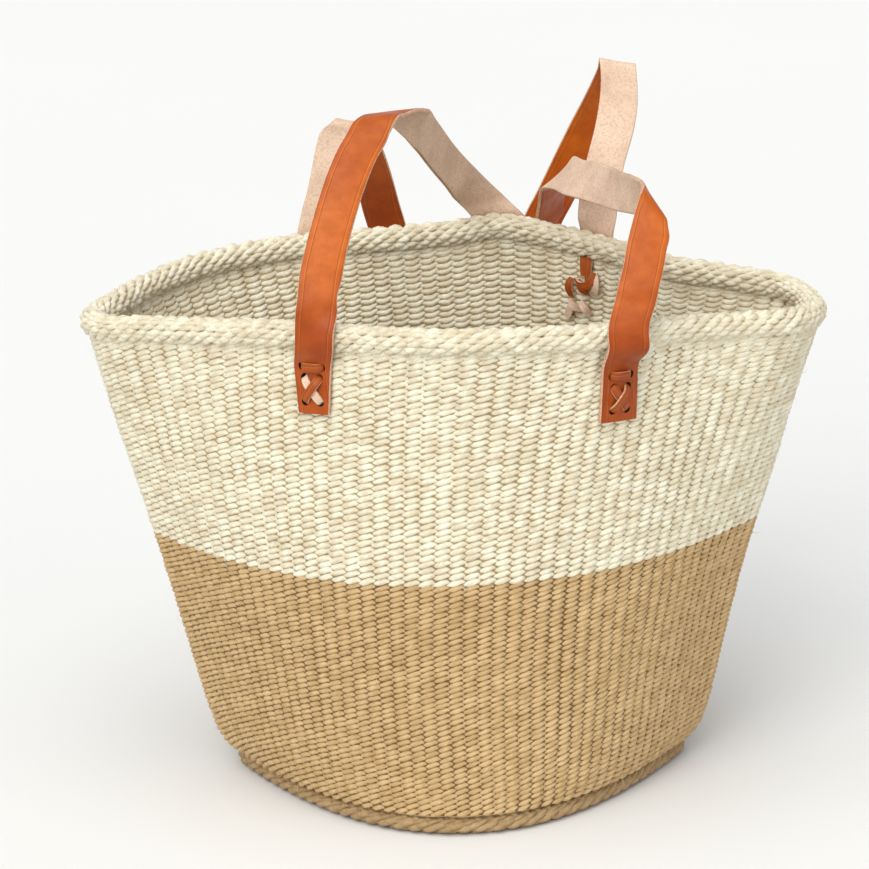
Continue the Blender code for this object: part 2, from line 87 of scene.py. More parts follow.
# The straps: their size, the lines that they fold on, and the heights of the lacing above a tab's end.
STRAP_WIDTH = 0.0225
TAB_STANDOFF = 0.0046
TAB_LEAN = 0.12
HINGE_GAP = 0.003
CROSS_UP = 0.0125
BAR_UP = 0.0145
FRONT_HINGE = Vector((0.0, -0.095, 0.300))
BACK_HINGE_LEFT = Vector((-0.076, 0.115, 0.297))
BACK_HINGE_RIGHT = Vector((0.086, 0.101, 0.297))
# Side, x at the end and at the fold, height and width of the end, and how far the strap has turned at the rim.
TABS = {
    "front_left": ("front", -0.0723, -0.0712, 0.2385, 0.0183, 0.25),
    "front_right": ("front", 0.0865, 0.0995, 0.2312, 0.0235, 0.9),
    "back_left": ("back", -0.079, -0.0742, 0.2350, 0.0205, 0.0),
    "back_right": ("back", 0.083, 0.0870, 0.2350, 0.0205, 0.0),
}
# Points on the two edges of a strap, row by row, in millimetres: x, y, z of the one, then of the other.
RISERS = {
    "front_left": (
        (-81.5, -93.5, 302.6, -60, -93.5, 302.6), (-80, -87, 314, -57.5, -88, 311), (-76, -78, 329, -54, -80, 326),
        (-70.8, -69, 345, -49, -71, 342), (-64.3, -59, 362, -43.2, -62, 357), (-57.8, -52, 375, -36.8, -54, 370),
        (-52.5, -46.5, 382.5, -31.5, -49.5, 378),
    ),
    "front_right": (
        (112.1, -93.5, 302.6, 89.7, -93.5, 302.6), (115, -88, 312, 93.7, -86, 315), (117, -83, 321, 96.5, -80, 327),
        (119, -79, 329, 100, -74, 338), (118, -76.5, 334, 104, -67.5, 349),
    ),
    "back_left": (
        (-83.8, 116.8, 300, -61, 114.8, 300), (-81.5, 118.5, 307, -58.8, 116.5, 306),
        (-78.2, 121, 320, -55.8, 119, 318), (-74.7, 125, 335, -52.8, 123, 333), (-71.8, 126.5, 343, -49.2, 124.5, 341),
        (-66, 126.5, 347.5, -44, 125.5, 346),
    ),
    "back_right": (
        (99, 102, 300, 76.5, 104, 300), (102.5, 109, 318, 80.5, 111, 320), (110.5, 120, 344, 88, 122.5, 345),
        (112.5, 125.5, 355.5, 90.5, 127.5, 357.5), (112.5, 130.5, 367, 91.5, 133, 371),
        (112, 134, 374, 91, 136.5, 378),
    ),
}
MIDDLES = {
    "front": (
        (-50.3, -42.5, 385.5, -29.8, -47, 381.8), (-46.2, -33, 386.8, -25.8, -42.5, 388),
        (-41.1, -19, 385.1, -20.9, -28.2, 387.2), (-34.4, -6.1, 381.2, -14.3, -14.5, 386.5),
        (-26.9, 3.1, 372, -8.2, -0.7, 383), (-17.8, 8, 360.6, -7.6, 14.9, 378.8), (-14, 20.1, 353, -5.9, 28.5, 372.1),
        (-11.6, 33.2, 346.2, -3.4, 41.7, 365.1), (-9, 46.1, 339.3, -0.9, 54.9, 358.1),
        (-6.1, 57.8, 332.5, 1.9, 68.9, 350.3), (-3, 69, 325.8, 5.5, 82.8, 341.9), (0.1, 79.9, 319, 10.1, 96.3, 333),
        (2.6, 90.8, 312.4, 16.3, 108.8, 323.2), (4.5, 102.1, 306.3, 24.4, 119.1, 312.2),
        (7.7, 113.3, 300, 34.6, 124.9, 300.5), (14.2, 121.2, 290.9, 45.6, 126.2, 288.1),
        (18, 127.5, 282, 47.8, 130.8, 283), (29, 133.5, 269, 48.6, 132.8, 281.8), (40.5, 134.5, 261, 51, 133, 282),
        (48, 131, 264, 58, 133, 283.5), (51.5, 124.5, 274, 66, 132, 287), (52, 119, 287, 68.5, 129, 298.5),
        (53.5, 109.5, 300, 71, 116.5, 312), (55, 99, 311, 72.5, 101, 325), (61, 87, 314, 74, 90, 332),
        (67, 66, 316, 79, 70, 335), (75, 44, 319, 85, 47, 339), (85, 18, 322, 92, 21, 343), (94, -8, 325, 97, -4, 346),
        (103, -32, 329, 101, -28, 350), (113, -53, 332, 106, -49.5, 351),
    ),
    "back": (
        (-62, 139, 346, -42, 138, 341), (-58, 150, 332, -37, 148, 326), (-53, 162, 308, -32, 161, 306),
        (-51, 172, 287, -28.5, 172, 288), (-47, 180, 268, -24.5, 180, 270), (-41.5, 183, 240, -20, 188, 242),
        (-31, 180, 205, -15.5, 195, 209), (-18, 176, 172, -10, 196, 176), (-3, 174, 146, -1, 196, 148),
        (10, 174, 137, 10, 196.5, 137), (25, 174, 146, 21, 196, 149), (40, 177, 172, 30, 196, 177),
        (52, 182, 205, 36.5, 197, 210), (61, 189, 238, 40.5, 196, 244), (67, 194, 262, 46, 193, 270),
        (76, 193.5, 279.5, 55, 192.5, 287.5), (85, 191, 299, 64, 190, 306.5), (94.5, 185.5, 319.5, 73.5, 184.5, 327),
        (104.5, 171, 342.5, 83.5, 170, 350), (111.5, 151, 364, 90.5, 149.5, 371),
    ),
}

# How finely things are drawn: points to each span of a smooth line and to each upright, and a strap's rows.
PER_SPAN = 16
PER_COLUMN = 4
STRAP_ROW = 0.0022

# Inside the weave: the thickness of the walls' core, and the radii of uprights and of the hearts of the rolls.
CORE_THICKNESS = 0.0022
UPRIGHT = 0.0013
RIM_HEART = 0.0056
BASE_HEART = 0.0036

# The weave: how far a strand hangs down where it shows inside, how far its stitches wander along the row, how far
# every other row of a roll is moved along it, in stitches, and the bottom's distance of rows and length of stitches.
ROW_SAG = 0.0016
WANDER = 0.22
BRICK = 0.5
BOTTOM_PITCH = 0.0035
BOTTOM_STITCH = 0.0076

# Camera: where it stands, the point it looks at, and how far it is turned about its own line of sight.
CAMERA_PLACE = Vector((0.0, -2.27598, 0.91153))
CAMERA_AIM = Vector((-0.0104, 0.0, 0.19588))
CAMERA_ROLL = math.radians(-1.641)
CAMERA_LENS = 175.39


# What a user would change.

def count_of(name, words, value, low, high):
    return IntProperty(name=name, description=words, default=value, min=low, max=high)


def size_of(name, words, value):
    return FloatProperty(name=name, description=words, default=value, unit="LENGTH")


def colour(name, words, value):
    return FloatVectorProperty(name=name, description=words, default=value, size=3, min=0, max=1, subtype="COLOR")


class KiondoWeave(bpy.types.PropertyGroup):
    columns: count_of("Columns", "Upright strands round the basket, an even number", 104, 40, 160)
    tan_rows: count_of("Tan rows", "Rows of weft in the lower wall", 43, 10, 60)
    cream_rows: count_of("Cream rows", "Rows of weft in the upper wall", 36, 10, 60)
    tan_strand: size_of("Tan strand", "Radius of a tan weft strand where it crosses an upright", 0.00163)
    cream_strand: size_of("Cream strand", "Radius of a cream weft strand where it crosses an upright", 0.00189)
    depth: size_of("Depth", "How far a stitch stands off the middle of the wall", 0.0012)
    rise: size_of("Rise", "How far a stitch climbs to each side of its middle", 0.00125)
    tightness: FloatProperty(
        name="Tightness", description="How much a strand thins where it dives between uprights", default=0.42,
        min=0.0, max=0.8,
    )
    hairs: count_of("Hairs", "Loose fibres on the outside", 900, 0, 3000)


class KiondoLeather(bpy.types.PropertyGroup):
    strap_thickness: size_of("Strap thickness", "Thickness of the handles' leather", 0.0025)
    crown: size_of("Crown", "How far a strap's middle stands above its edges", 0.0005)
    thong_width: size_of("Thong width", "Width of the lacing thong", 0.0048)
    thong_thickness: size_of("Thong thickness", "Thickness of the lacing thong", 0.0014)


class KiondoColours(bpy.types.PropertyGroup):
    cream: colour("Cream", "Bleached sisal of the upper wall and the rim", (0.94, 0.88, 0.705))
    tan: colour("Tan", "Natural sisal of the lower wall and the base", (0.675, 0.48, 0.244))
    grain: colour("Grain", "The straps' smooth side", (0.485, 0.098, 0.0055))
    flesh: colour("Flesh", "The straps' rough side", (0.71, 0.53, 0.40))
    thong: colour("Thong", "The lacing's smooth side", (0.47, 0.11, 0.014))
    floor: colour("Floor", "The floor under the basket", (0.75, 0.747, 0.728))


# Curves as arrays of points.

def in_metres(rows):
    return np.array(rows) / 1000


def smooth_through(points, closed=False, per_span=PER_SPAN):
    """Close points along a smooth curve through these, with per_span of them to each span."""
    points = np.array(points, float)
    count = len(points)
    if closed:
        before, after = np.roll(points, 1, axis=0), np.roll(points, -1, axis=0)
    else:
        before = np.vstack([2 * points[0] - points[1], points[:-1]])
        after = np.vstack([points[1:], 2 * points[-1] - points[-2]])
    into = np.linalg.norm(points - before, axis=1)[:, None]
    out = np.linalg.norm(after - points, axis=1)[:, None]
    slopes = ((points - before) / into * out + (after - points) / out * into) / (into + out)
    steps = np.arange(per_span)[:, None] / per_span
    line = []
    for i in range(count if closed else count - 1):
        j = (i + 1) % count
        length = out[i]
        h00, h10 = 2 * steps**3 - 3 * steps**2 + 1, steps**3 - 2 * steps**2 + steps
        h01, h11 = 3 * steps**2 - 2 * steps**3, steps**3 - steps**2
        line.append(h00 * points[i] + h10 * length * slopes[i] + h01 * points[j] + h11 * length * slopes[j])
    if not closed:
        line.append(points[-1:])
    return np.vstack(line)


def lengths_along(points):
    return np.concatenate([[0.0], np.cumsum(np.linalg.norm(np.diff(points, axis=0), axis=1))])


def at_lengths(points, wanted, along=None):
    """The points of a line at these lengths along it, or along another line where along gives its lengths."""
    along = lengths_along(points) if along is None else along
    return np.stack([np.interp(wanted, along, points[:, k]) for k in range(3)], axis=1)


def spread(points, count):
    """count + 1 points evenly spaced along an open line."""
    return at_lengths(points, np.linspace(0, lengths_along(points)[-1], count + 1))


def ring_of(back, front, count):
    """One ring of count points from its two halves: left tip, back, right tip, front."""
    return np.vstack([spread(back, count // 2)[:-1], spread(front, count // 2)[:-1]])


def oval(half_length, half_width, power, z, count):
    """A ring whose sides are y = b (1 - |x/a|^n), with its two tips rounded a little."""
    u = np.linspace(0, math.pi, 240)
    x = -half_length * np.cos(u)
    y = half_width * (1 - np.abs(x / half_length) ** power)
    flat = np.full_like(x, z)
    ring = ring_of(np.stack([x, y, flat], axis=1), np.stack([-x, -y, flat], axis=1), count)
    reach = max(1, round(TIP_ROUND / np.linalg.norm(ring[1] - ring[0])))
    shifts = range(-reach, reach + 1)
    return sum(np.roll(ring, shift, axis=0) for shift in shifts) / len(shifts)


def mouth_ring(drop, count):
    """The ring this far below the top line of the rim roll."""
    line = smooth_through(in_metres(MOUTH_BACK + MOUTH_FRONT), closed=True)
    right_tip = len(MOUTH_BACK) * PER_SPAN
    back = line[: right_tip + 1]
    front = np.vstack([line[right_tip:], line[:1]])
    return ring_of(back, front, count) - np.array([0.0, 0.0, drop])


def units(vectors):
    return vectors / np.linalg.norm(vectors, axis=-1, keepdims=True)


def tangents(ring):
    return units(np.roll(ring, -1, axis=0) - np.roll(ring, 1, axis=0))


def even_noise(rng, count, step):
    """Smooth closed noise of count values with a bump about every step of them, within about -1 to 1."""
    knots = max(4, round(count / step))
    values = rng.uniform(-1, 1, knots)
    where = np.arange(count) / count * knots
    low = np.floor(where).astype(int)
    part = where - low
    part = part * part * (3 - 2 * part)
    return values[low % knots] * (1 - part) + values[(low + 1) % knots] * part


class Wall:
    """The middle of the wall's thickness, as rings at t: 0 at the foot, 0.5 at the colour line, 1 at the rim."""

    def __init__(self, count):
        self.foot = oval(*WALL_FOOT, WALL_FOOT_Z, count)
        self.middle = oval(*COLOUR_LINE, COLOUR_LINE_Z, count)
        self.top = mouth_ring(2 * ROLL_RADIUS + ROLL_GAP, count)

    def ring(self, t):
        ring = self.foot * (1 - t) * (1 - 2 * t) + self.middle * 4 * t * (1 - t) + self.top * t * (2 * t - 1)
        if t < 0.5:
            ring[:, 0] *= 1 + BULGE * t / (t + BULGE_START) * (1 - 2 * t) ** 2
        return ring

    def frames(self, t):
        """The ring at t, and the unit directions out of and up the wall at each of its points."""
        ring = self.ring(t)
        rise = self.ring(t + 0.004) - self.ring(max(0.0, t - 0.004))
        along = tangents(ring)
        out = units(np.cross(rise, along))
        return ring, out, units(np.cross(along, out))


def point_at(ring, side, x):
    """The point of a ring's front or back at this x, and the unit direction of the ring there, towards +X."""
    half = len(ring) // 2
    line = ring[: half + 1] if side == "back" else np.vstack([ring[half:], ring[:1]])[::-1]
    here = np.interp(x, line[:, 0], lengths_along(line))
    ends = at_lengths(line, np.array([here - STRAP_WIDTH / 2, here, here + STRAP_WIDTH / 2]))
    return Vector(ends[1]), Vector(ends[2] - ends[0]).normalized()


def wall_frame(wall, side, x, z):
    """Where the wall is at this x and height: the point, and the directions across and out."""
    levels = np.linspace(0.6, 1.0, 41)
    heights = [point_at(wall.ring(t), side, x)[0].z for t in levels]
    t = np.interp(z, heights, levels)
    spot, across = point_at(wall.ring(t), side, x)
    rise = point_at(wall.ring(t + 0.02), side, x)[0] - point_at(wall.ring(t - 0.02), side, x)[0]
    out = across.cross(rise).normalized()
    if (out.y > 0) != (side == "back"):
        out = -out
    return spot, across, out


# Handing a piece over: hiding the parts of the solid model that it replaces, and hanging it on its body.

def hand_over(piece, body, nodes=()):
    if nodes:
        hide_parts(*nodes)
    if body:
        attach(piece, body)
    return piece


def link(obj):
    bpy.context.scene.collection.objects.link(obj)
    return obj


def mesh_object(name, bm, looks):
    """The object of what was built in bm, which is freed."""
    mesh = bpy.data.meshes.new(name)
    bm.to_mesh(mesh)
    bm.free()
    for look in looks:
        mesh.materials.append(look)
    return link(bpy.data.objects.new(name, mesh))


def tubes(name, lines, radii, look, closed=True, sides=1):
    """Round strands along lines of points, as one mesh. A radius is given for each point."""
    curve = bpy.data.curves.new(name, "CURVE")
    curve.dimensions = "3D"
    curve.bevel_depth = 1.0
    curve.bevel_resolution = sides
    curve.use_fill_caps = not closed
    for points, radius in zip(lines, radii):
        line = curve.splines.new("POLY")
        line.points.add(len(points) - 1)
        line.points.foreach_set("co", np.column_stack([points, np.ones(len(points))]).astype(np.float32).ravel())
        line.points.foreach_set("radius", np.broadcast_to(radius, len(points)).astype(np.float32))
        line.use_cyclic_u = closed
    maker = link(bpy.data.objects.new(name + "_line", curve))
    graph = bpy.context.evaluated_depsgraph_get()
    mesh = bpy.data.meshes.new_from_object(maker.evaluated_get(graph))
    bpy.data.objects.remove(maker)
    bpy.data.curves.remove(curve)
    mesh.name = name
    mesh.materials.clear()
    mesh.materials.append(look)
    return link(bpy.data.objects.new(name, mesh))


def settle(obj):
    """Applies what is on the object's modifiers."""
    graph = bpy.context.evaluated_depsgraph_get()
    mesh = bpy.data.meshes.new_from_object(obj.evaluated_get(graph))
    obj.modifiers.clear()
    obj.data = mesh
    return obj


# Materials.

def feed(tree, socket, value):
    """Links value to the socket where it is another node's output, and otherwise sets the socket to it."""
    if isinstance(value, bpy.types.NodeSocket):
        tree.links.new(value, socket)
    else:
        socket.default_value = value


def add_node(tree, kind, values=None, **settings):
    node = tree.nodes.new(kind)
    for key, value in settings.items():
        setattr(node, key, value)
    for key, value in (values or {}).items():
        feed(tree, node.inputs[key], value)
    return node


def math_node(tree, operation, a, b=0.0, c=0.0):
    return add_node(tree, "ShaderNodeMath", {0: a, 1: b, 2: c}, operation=operation).outputs[0]


def texture_place(tree, kind):
    return add_node(tree, "ShaderNodeTexCoord").outputs[kind]


def mix_colours(tree, factor, a, b, blend="MIX"):
    node = add_node(tree, "ShaderNodeMix", data_type="RGBA", blend_type=blend)
    sockets = {socket.identifier: socket for socket in node.inputs}
    feed(tree, sockets["Factor_Float"], factor)
    for key, value in (("A_Color", a), ("B_Color", b)):
        feed(tree, sockets[key], value if isinstance(value, bpy.types.NodeSocket) else (*value[:3], 1.0))
    return next(socket for socket in node.outputs if socket.identifier == "Result_Color")


def band(tree, value, low, high, reach_low=0.0, reach_high=1.0):
    """A smooth step of value from low to high."""
    node = add_node(
        tree, "ShaderNodeMapRange",
        {"Value": value, "From Min": low, "From Max": high, "To Min": reach_low, "To Max": reach_high},
        interpolation_type="SMOOTHSTEP",
    )
    return node.outputs[0]


def new_group(name, inputs, outputs):
    """A node group of floats: its inputs with their defaults, and its outputs."""
    tree = bpy.data.node_groups.new(name, "ShaderNodeTree")
    for label, default in inputs.items():
        tree.interface.new_socket(label, in_out="INPUT", socket_type="NodeSocketFloat").default_value = default
    for label in outputs:
        tree.interface.new_socket(label, in_out="OUTPUT", socket_type="NodeSocketFloat")
    return tree, tree.nodes.new("NodeGroupInput"), tree.nodes.new("NodeGroupOutput")


def noise_node(tree, place, scale, detail, roughness=0.5):
    values = {"Vector": place, "Scale": scale, "Detail": detail, "Roughness": roughness}
    return add_node(tree, "ShaderNodeTexNoise", values).outputs["Fac"]


def tone_drift(name):
    """Slow changes of tone over the object, the same in every material: broad patches and small ones."""
    tree, given, result = new_group(name, {"Broad Scale": 18.0, "Fine Scale": 130.0}, ("Broad", "Fine"))
    place = texture_place(tree, "Object")
    for label, detail in (("Broad", 3.0), ("Fine", 2.0)):
        noise = noise_node(tree, place, given.outputs[label + " Scale"], detail, 0.55)
        tree.links.new(band(tree, noise, 0.3, 0.7), result.inputs[label])
    return tree


def sisal_fibre(name):
    """Fibres that run along a strand: its UV map goes along it and round it."""
    tree, given, result = new_group(name, {"Along": 70.0, "Round": 9.0, "Twist": 60.0}, ("Streak", "Height"))
    split = add_node(tree, "ShaderNodeSeparateXYZ", {0: texture_place(tree, "UV")})
    height = add_node(tree, "ShaderNodeSeparateXYZ", {0: texture_place(tree, "Object")}).outputs["Z"]
    turned = math_node(tree, "MULTIPLY_ADD", split.outputs["X"], given.outputs["Twist"], split.outputs["Y"])
    wave = math_node(tree, "MULTIPLY", turned, 2 * math.pi)
    around_x = math_node(tree, "MULTIPLY", math_node(tree, "COSINE", wave), given.outputs["Round"])
    around_y = math_node(tree, "MULTIPLY", math_node(tree, "SINE", wave), given.outputs["Round"])
    along = math_node(tree, "MULTIPLY", split.outputs["X"], given.outputs["Along"])
    along = math_node(tree, "MULTIPLY_ADD", height, 300.0, along)
    place = add_node(tree, "ShaderNodeCombineXYZ", {0: along, 1: around_x, 2: around_y}).outputs[0]
    noise = noise_node(tree, place, 1.0, 3.0, 0.65)
    tree.links.new(band(tree, noise, 0.3, 0.7), result.inputs["Streak"])
    tree.links.new(noise, result.inputs["Height"])
    return tree


def leather_pores(name):
    """Leather's surface: small pores and creases, and larger mottling, from the strap's own UV map in metres."""
    tree, given, result = new_group(name, {"Scale": 900.0, "Stretch": 1.0}, ("Pores", "Mottle"))
    stretch = add_node(tree, "ShaderNodeCombineXYZ", {0: 1.0, 1: given.outputs["Stretch"], 2: 1.0}).outputs[0]
    place = add_node(
        tree, "ShaderNodeVectorMath", {0: texture_place(tree, "UV"), 1: stretch}, operation="MULTIPLY"
    ).outputs[0]
    scale = given.outputs["Scale"]
    cells = add_node(
        tree, "ShaderNodeTexVoronoi", {"Vector": place, "Scale": scale}, feature="SMOOTH_F1", voronoi_dimensions="2D"
    )
    grit = noise_node(tree, place, math_node(tree, "MULTIPLY", scale, 0.6), 4.0)
    mottle = noise_node(tree, place, math_node(tree, "MULTIPLY", scale, 0.12), 5.0, 0.6)
    half_grit = math_node(tree, "MULTIPLY", grit, 0.5)
    pores = math_node(tree, "MULTIPLY_ADD", cells.outputs["Distance"], 0.5, half_grit)
    tree.links.new(pores, result.inputs["Pores"])
    tree.links.new(band(tree, mottle, 0.3, 0.7), result.inputs["Mottle"])
    return tree


def group_node(tree, maker, **values):
    """The outputs of a node of the group that maker makes once and that is named after it."""
    name = maker.__name__.replace("_", " ").capitalize()
    node = tree.nodes.new("ShaderNodeGroup")
    node.node_tree = bpy.data.node_groups.get(name) or maker(name)
    for key, value in values.items():
        node.inputs[key.replace("_", " ")].default_value = value
    return node.outputs


def once(make):
    """Has a look made only the first time that it is asked for, and given back from then on."""
    def made(name, *given, **settings):
        return bpy.data.materials.get(name) or make(name, *given, **settings)
    return made


def new_look(name):
    look = bpy.data.materials.new(name)
    look.use_nodes = True
    return look, look.node_tree


def surface(tree, tone, rough, specular=0.5, bump=None):
    """Sets the shader's colour, roughness and specular level, and a bump of strength, distance and height."""
    shader = tree.nodes["Principled BSDF"]
    tree.links.new(tone, shader.inputs["Base Color"])
    feed(tree, shader.inputs["Roughness"], rough)
    shader.inputs["Specular IOR Level"].default_value = specular
    if bump:
        node = add_node(tree, "ShaderNodeBump", dict(zip(("Strength", "Distance", "Height"), bump)))
        tree.links.new(node.outputs[0], shader.inputs["Normal"])


def times(value, *factors):
    """A colour times one factor, or three."""
    return tuple(min(1.0, channel * factor) for channel, factor in zip(value, factors * (3 // len(factors))))


@once
def sisal(name, base, twist=60.0):
    """Sisal strands: pale and dark fibres along each strand, and stitches and patches of different tone."""
    look, tree = new_look(name)
    fibre = group_node(tree, sisal_fibre, Twist=twist)
    drift = group_node(tree, tone_drift)
    tone = mix_colours(tree, drift["Fine"], times(base, 0.88, 0.85, 0.80), times(base, 1.09, 1.11, 1.16))
    patch = mix_colours(tree, drift["Broad"], (0.965, 0.95, 0.925), (1.0, 1.0, 1.0))
    tone = mix_colours(tree, 1.0, tone, patch, "MULTIPLY")
    shade = mix_colours(tree, fibre["Streak"], (0.70, 0.64, 0.54), (1.06, 1.07, 1.10))
    tone = mix_colours(tree, 0.8, tone, shade, "MULTIPLY")
    rough = band(tree, fibre["Streak"], 0.0, 1.0, 0.88, 0.62)
    surface(tree, tone, rough, 0.35, (0.7, 0.0006, fibre["Height"]))
    return look


def core_of(colours, kind):
    """Sisal darkened as painted shade for the inside of a wall or a roll, so that the gaps between stitches look deep.
    """
    # Painted shade: these factors darken the core to stand for the shade deep in the gaps between stitches.
    factors = {"tan": (0.30, 0.25, 0.20), "cream": (0.47, 0.40, 0.28)}[kind]
    return sisal(f"sisal {kind} core", times(getattr(colours, kind), *factors))


def crease_lines(tree):
    """A dark crease and a pale one beside it near each edge of a strap, and the darker rim of its edges."""
    across = add_node(tree, "ShaderNodeSeparateXYZ", {0: texture_place(tree, "UV")}).outputs["X"]
    from_middle = math_node(tree, "ABSOLUTE", math_node(tree, "SUBTRACT", across, STRAP_WIDTH / 2))
    marks = []
    for place in (0.0078, 0.0084):
        gap = math_node(tree, "ABSOLUTE", math_node(tree, "SUBTRACT", from_middle, place))
        marks.append(band(tree, gap, 0.0, 0.00035, 1.0, 0.0))
    return *marks, band(tree, from_middle, 0.0095, 0.0112)


def stained(tree, tone, mask, share, stain):
    """tone, mixed with the colour stain by that share of the mask."""
    return mix_colours(tree, math_node(tree, "MULTIPLY", mask, share), tone, stain)


@once
def strap_grain(name, base):
    look, tree = new_look(name)
    pores = group_node(tree, leather_pores)
    drift = group_node(tree, tone_drift, Broad_Scale=22.0, Fine_Scale=90.0)
    dark, pale, edge = crease_lines(tree)
    tone = mix_colours(tree, drift["Broad"], times(base, 0.84, 0.76, 0.62), times(base, 1.12, 1.24, 1.2))
    tone = mix_colours(tree, pores["Mottle"], tone, mix_colours(tree, 1.0, tone, (0.82, 0.76, 0.68), "MULTIPLY"))
    tone = stained(tree, tone, dark, 0.55, times(base, 0.5, 0.42, 0.36))
    tone = stained(tree, tone, pale, 0.5, times(base, 1.4, 2.2, 4.0))
    tone = stained(tree, tone, edge, 0.5, times(base, 0.62, 0.5, 0.45))
    # Painted shade: below about 0.28 to 0.325 m, on the tabs, the leather is darkened as if less light reached it than
    # the risers above.
    height = add_node(tree, "ShaderNodeSeparateXYZ", {0: texture_place(tree, "Object")}).outputs["Z"]
    low = band(tree, height, 0.280, 0.325, 1.0, 0.0)
    tone = mix_colours(tree, low, tone, mix_colours(tree, 1.0, tone, (0.76, 0.62, 0.42), "MULTIPLY"))
    rough = math_node(tree, "MULTIPLY_ADD", pores["Mottle"], 0.14, 0.36)
    relief = math_node(tree, "MULTIPLY_ADD", dark, -1.6, pores["Pores"])
    surface(tree, tone, rough, 0.27, (0.35, 0.0003, relief))
    return look


@once
def strap_flesh(name, base):
    look, tree = new_look(name)
    pores = group_node(tree, leather_pores, Scale=700.0, Stretch=0.6)
    drift = group_node(tree, tone_drift, Broad_Scale=45.0, Fine_Scale=800.0)
    tone = mix_colours(tree, drift["Broad"], times(base, 0.90, 0.87, 0.84), times(base, 1.05))
    tone = stained(tree, tone, band(tree, pores["Mottle"], 0.5, 1.0), 0.22, times(base, 0.60, 0.50, 0.42))
    tone = stained(tree, tone, band(tree, drift["Fine"], 0.45, 1.0), 0.40, times(base, 0.62, 0.52, 0.44))
    surface(tree, tone, 0.92, 0.25, (0.6, 0.0004, pores["Pores"]))
    return look


@once
def cut_edge(name, base):
    """The raw edge of leather: pale, with darker layers along it."""
    look, tree = new_look(name)
    drift = group_node(tree, tone_drift, Broad_Scale=60.0, Fine_Scale=900.0)
    tone = mix_colours(tree, drift["Fine"], times(base, 0.62, 0.48, 0.36), times(base, 1.02, 0.95, 0.88))
    tone = stained(tree, tone, drift["Broad"], 0.4, times(base, 0.7, 0.5, 0.36))
    surface(tree, tone, 0.85, bump=(0.5, 0.0003, drift["Fine"]))
    return look


@once
def hole_dark(name):
    """The inside of a blind punched hole: near-black painted shade standing in for the shadow down a hole."""
    look, tree = new_look(name)
    drift = group_node(tree, tone_drift, Broad_Scale=200.0)
    surface(tree, mix_colours(tree, drift["Broad"], (0.016, 0.006, 0.003), (0.045, 0.018, 0.008)), 0.95)
    return look


@once
def floor_material(name, base):
    look, tree = new_look(name)
    drift = group_node(tree, tone_drift, Broad_Scale=1.5, Fine_Scale=40.0)
    surface(tree, mix_colours(tree, drift["Broad"], times(base, 0.99), base), 0.9, 0.1)
    return look


def leathers(kind, grain):
    """The looks of a strip's three kinds of face: grain, flesh and cut edge."""
    flesh = bpy.context.scene.kiondo_colours.flesh
    return strap_grain(kind + " grain", grain), strap_flesh(kind + " flesh", flesh), cut_edge(kind + " edge", flesh)


# Woven pieces.

def twined_row(ring, out, up, columns, strand, depth, rise, rng, tightness=0.36, loose=1.0, drift=0.0, sag=0.0):
    """The two strands of one row of weft. Each passes outside one upright and inside the next.

    tightness is how much a strand thins where it dives, loose scales the unevenness, and drift shifts the stitches
    along the row, in half turns of a strand. sag is how far a strand hangs down where it shows inside.
    """
    count = len(ring)
    jitter = even_noise(rng, count, count / columns * 2.3) * 0.05 * loose
    u = (np.arange(count) / count * columns + drift + jitter) * math.pi
    wobble = even_noise(rng, count, count / columns * 1.7)[:, None] * loose
    lift = even_noise(rng, count, count / columns * 1.3)[:, None] * loose
    lines, radii = [], []
    for sign in (1, -1):
        swell = 1 + 0.09 * loose * even_noise(rng, count, count / columns)
        away = (sign * np.cos(u))[:, None] * depth * (1 + 0.14 * wobble)
        outside = 0.5 + 0.5 * sign * np.cos(u)
        climb = -rise * sign * np.sin(u) * outside ** 0.5 - sag * (1 - outside) ** 2
        climb = climb[:, None] + lift * 0.00026
        lines.append(ring + out * away + up * climb)
        radii.append(strand * swell * (1 - tightness + tightness * np.abs(np.cos(u)) ** 0.75))
    return lines, radii


def drifting(count, seed, bumps):
    """Slow closed noise round a ring that also changes with t, within about -1 to 1."""
    rng = np.random.default_rng(seed)
    layers = np.array([even_noise(rng, count, count / bumps) for _ in range(6)])
    places = np.linspace(0, 1, len(layers))

    def at(t):
        low = min(len(layers) - 2, max(0, int(t * (len(layers) - 1))))
        part = min(1.0, max(0.0, (t - places[low]) / (places[low + 1] - places[low])))
        return layers[low] * (1 - part) + layers[low + 1] * part
    return at


def undulation(count):
    """Slow hollows and swellings of the wall, as a function of t, in metres along its normal."""
    noise = drifting(count, 5, 14)
    return lambda t: noise(t) * 0.0007 * math.sin(math.pi * min(1.0, t * 1.05))


def weave_band(half, kind, number, wall, levels, bulge, strand, rng):
    """Some of the rows of one half of the wall, as one piece."""
    weave = bpy.context.scene.kiondo_weave
    look = sisal("sisal " + kind, getattr(bpy.context.scene.kiondo_colours, kind))
    sideways = drifting(len(wall.foot), 9, 17)
    lines, radii = [], []
    for t in levels:
        ring, out, up = wall.frames(t)
        row_lines, row_radii = twined_row(
            ring + out * bulge(t)[:, None], out, up, weave.columns, strand, weave.depth, weave.rise, rng,
            weave.tightness, drift=sideways(t) * WANDER, sag=ROW_SAG,
        )
        lines += row_lines
        radii += row_radii
    piece = tubes(f"{half}_weave_{number}", lines, radii, look)
    return hand_over(piece, "basket", [half + "_wall"])


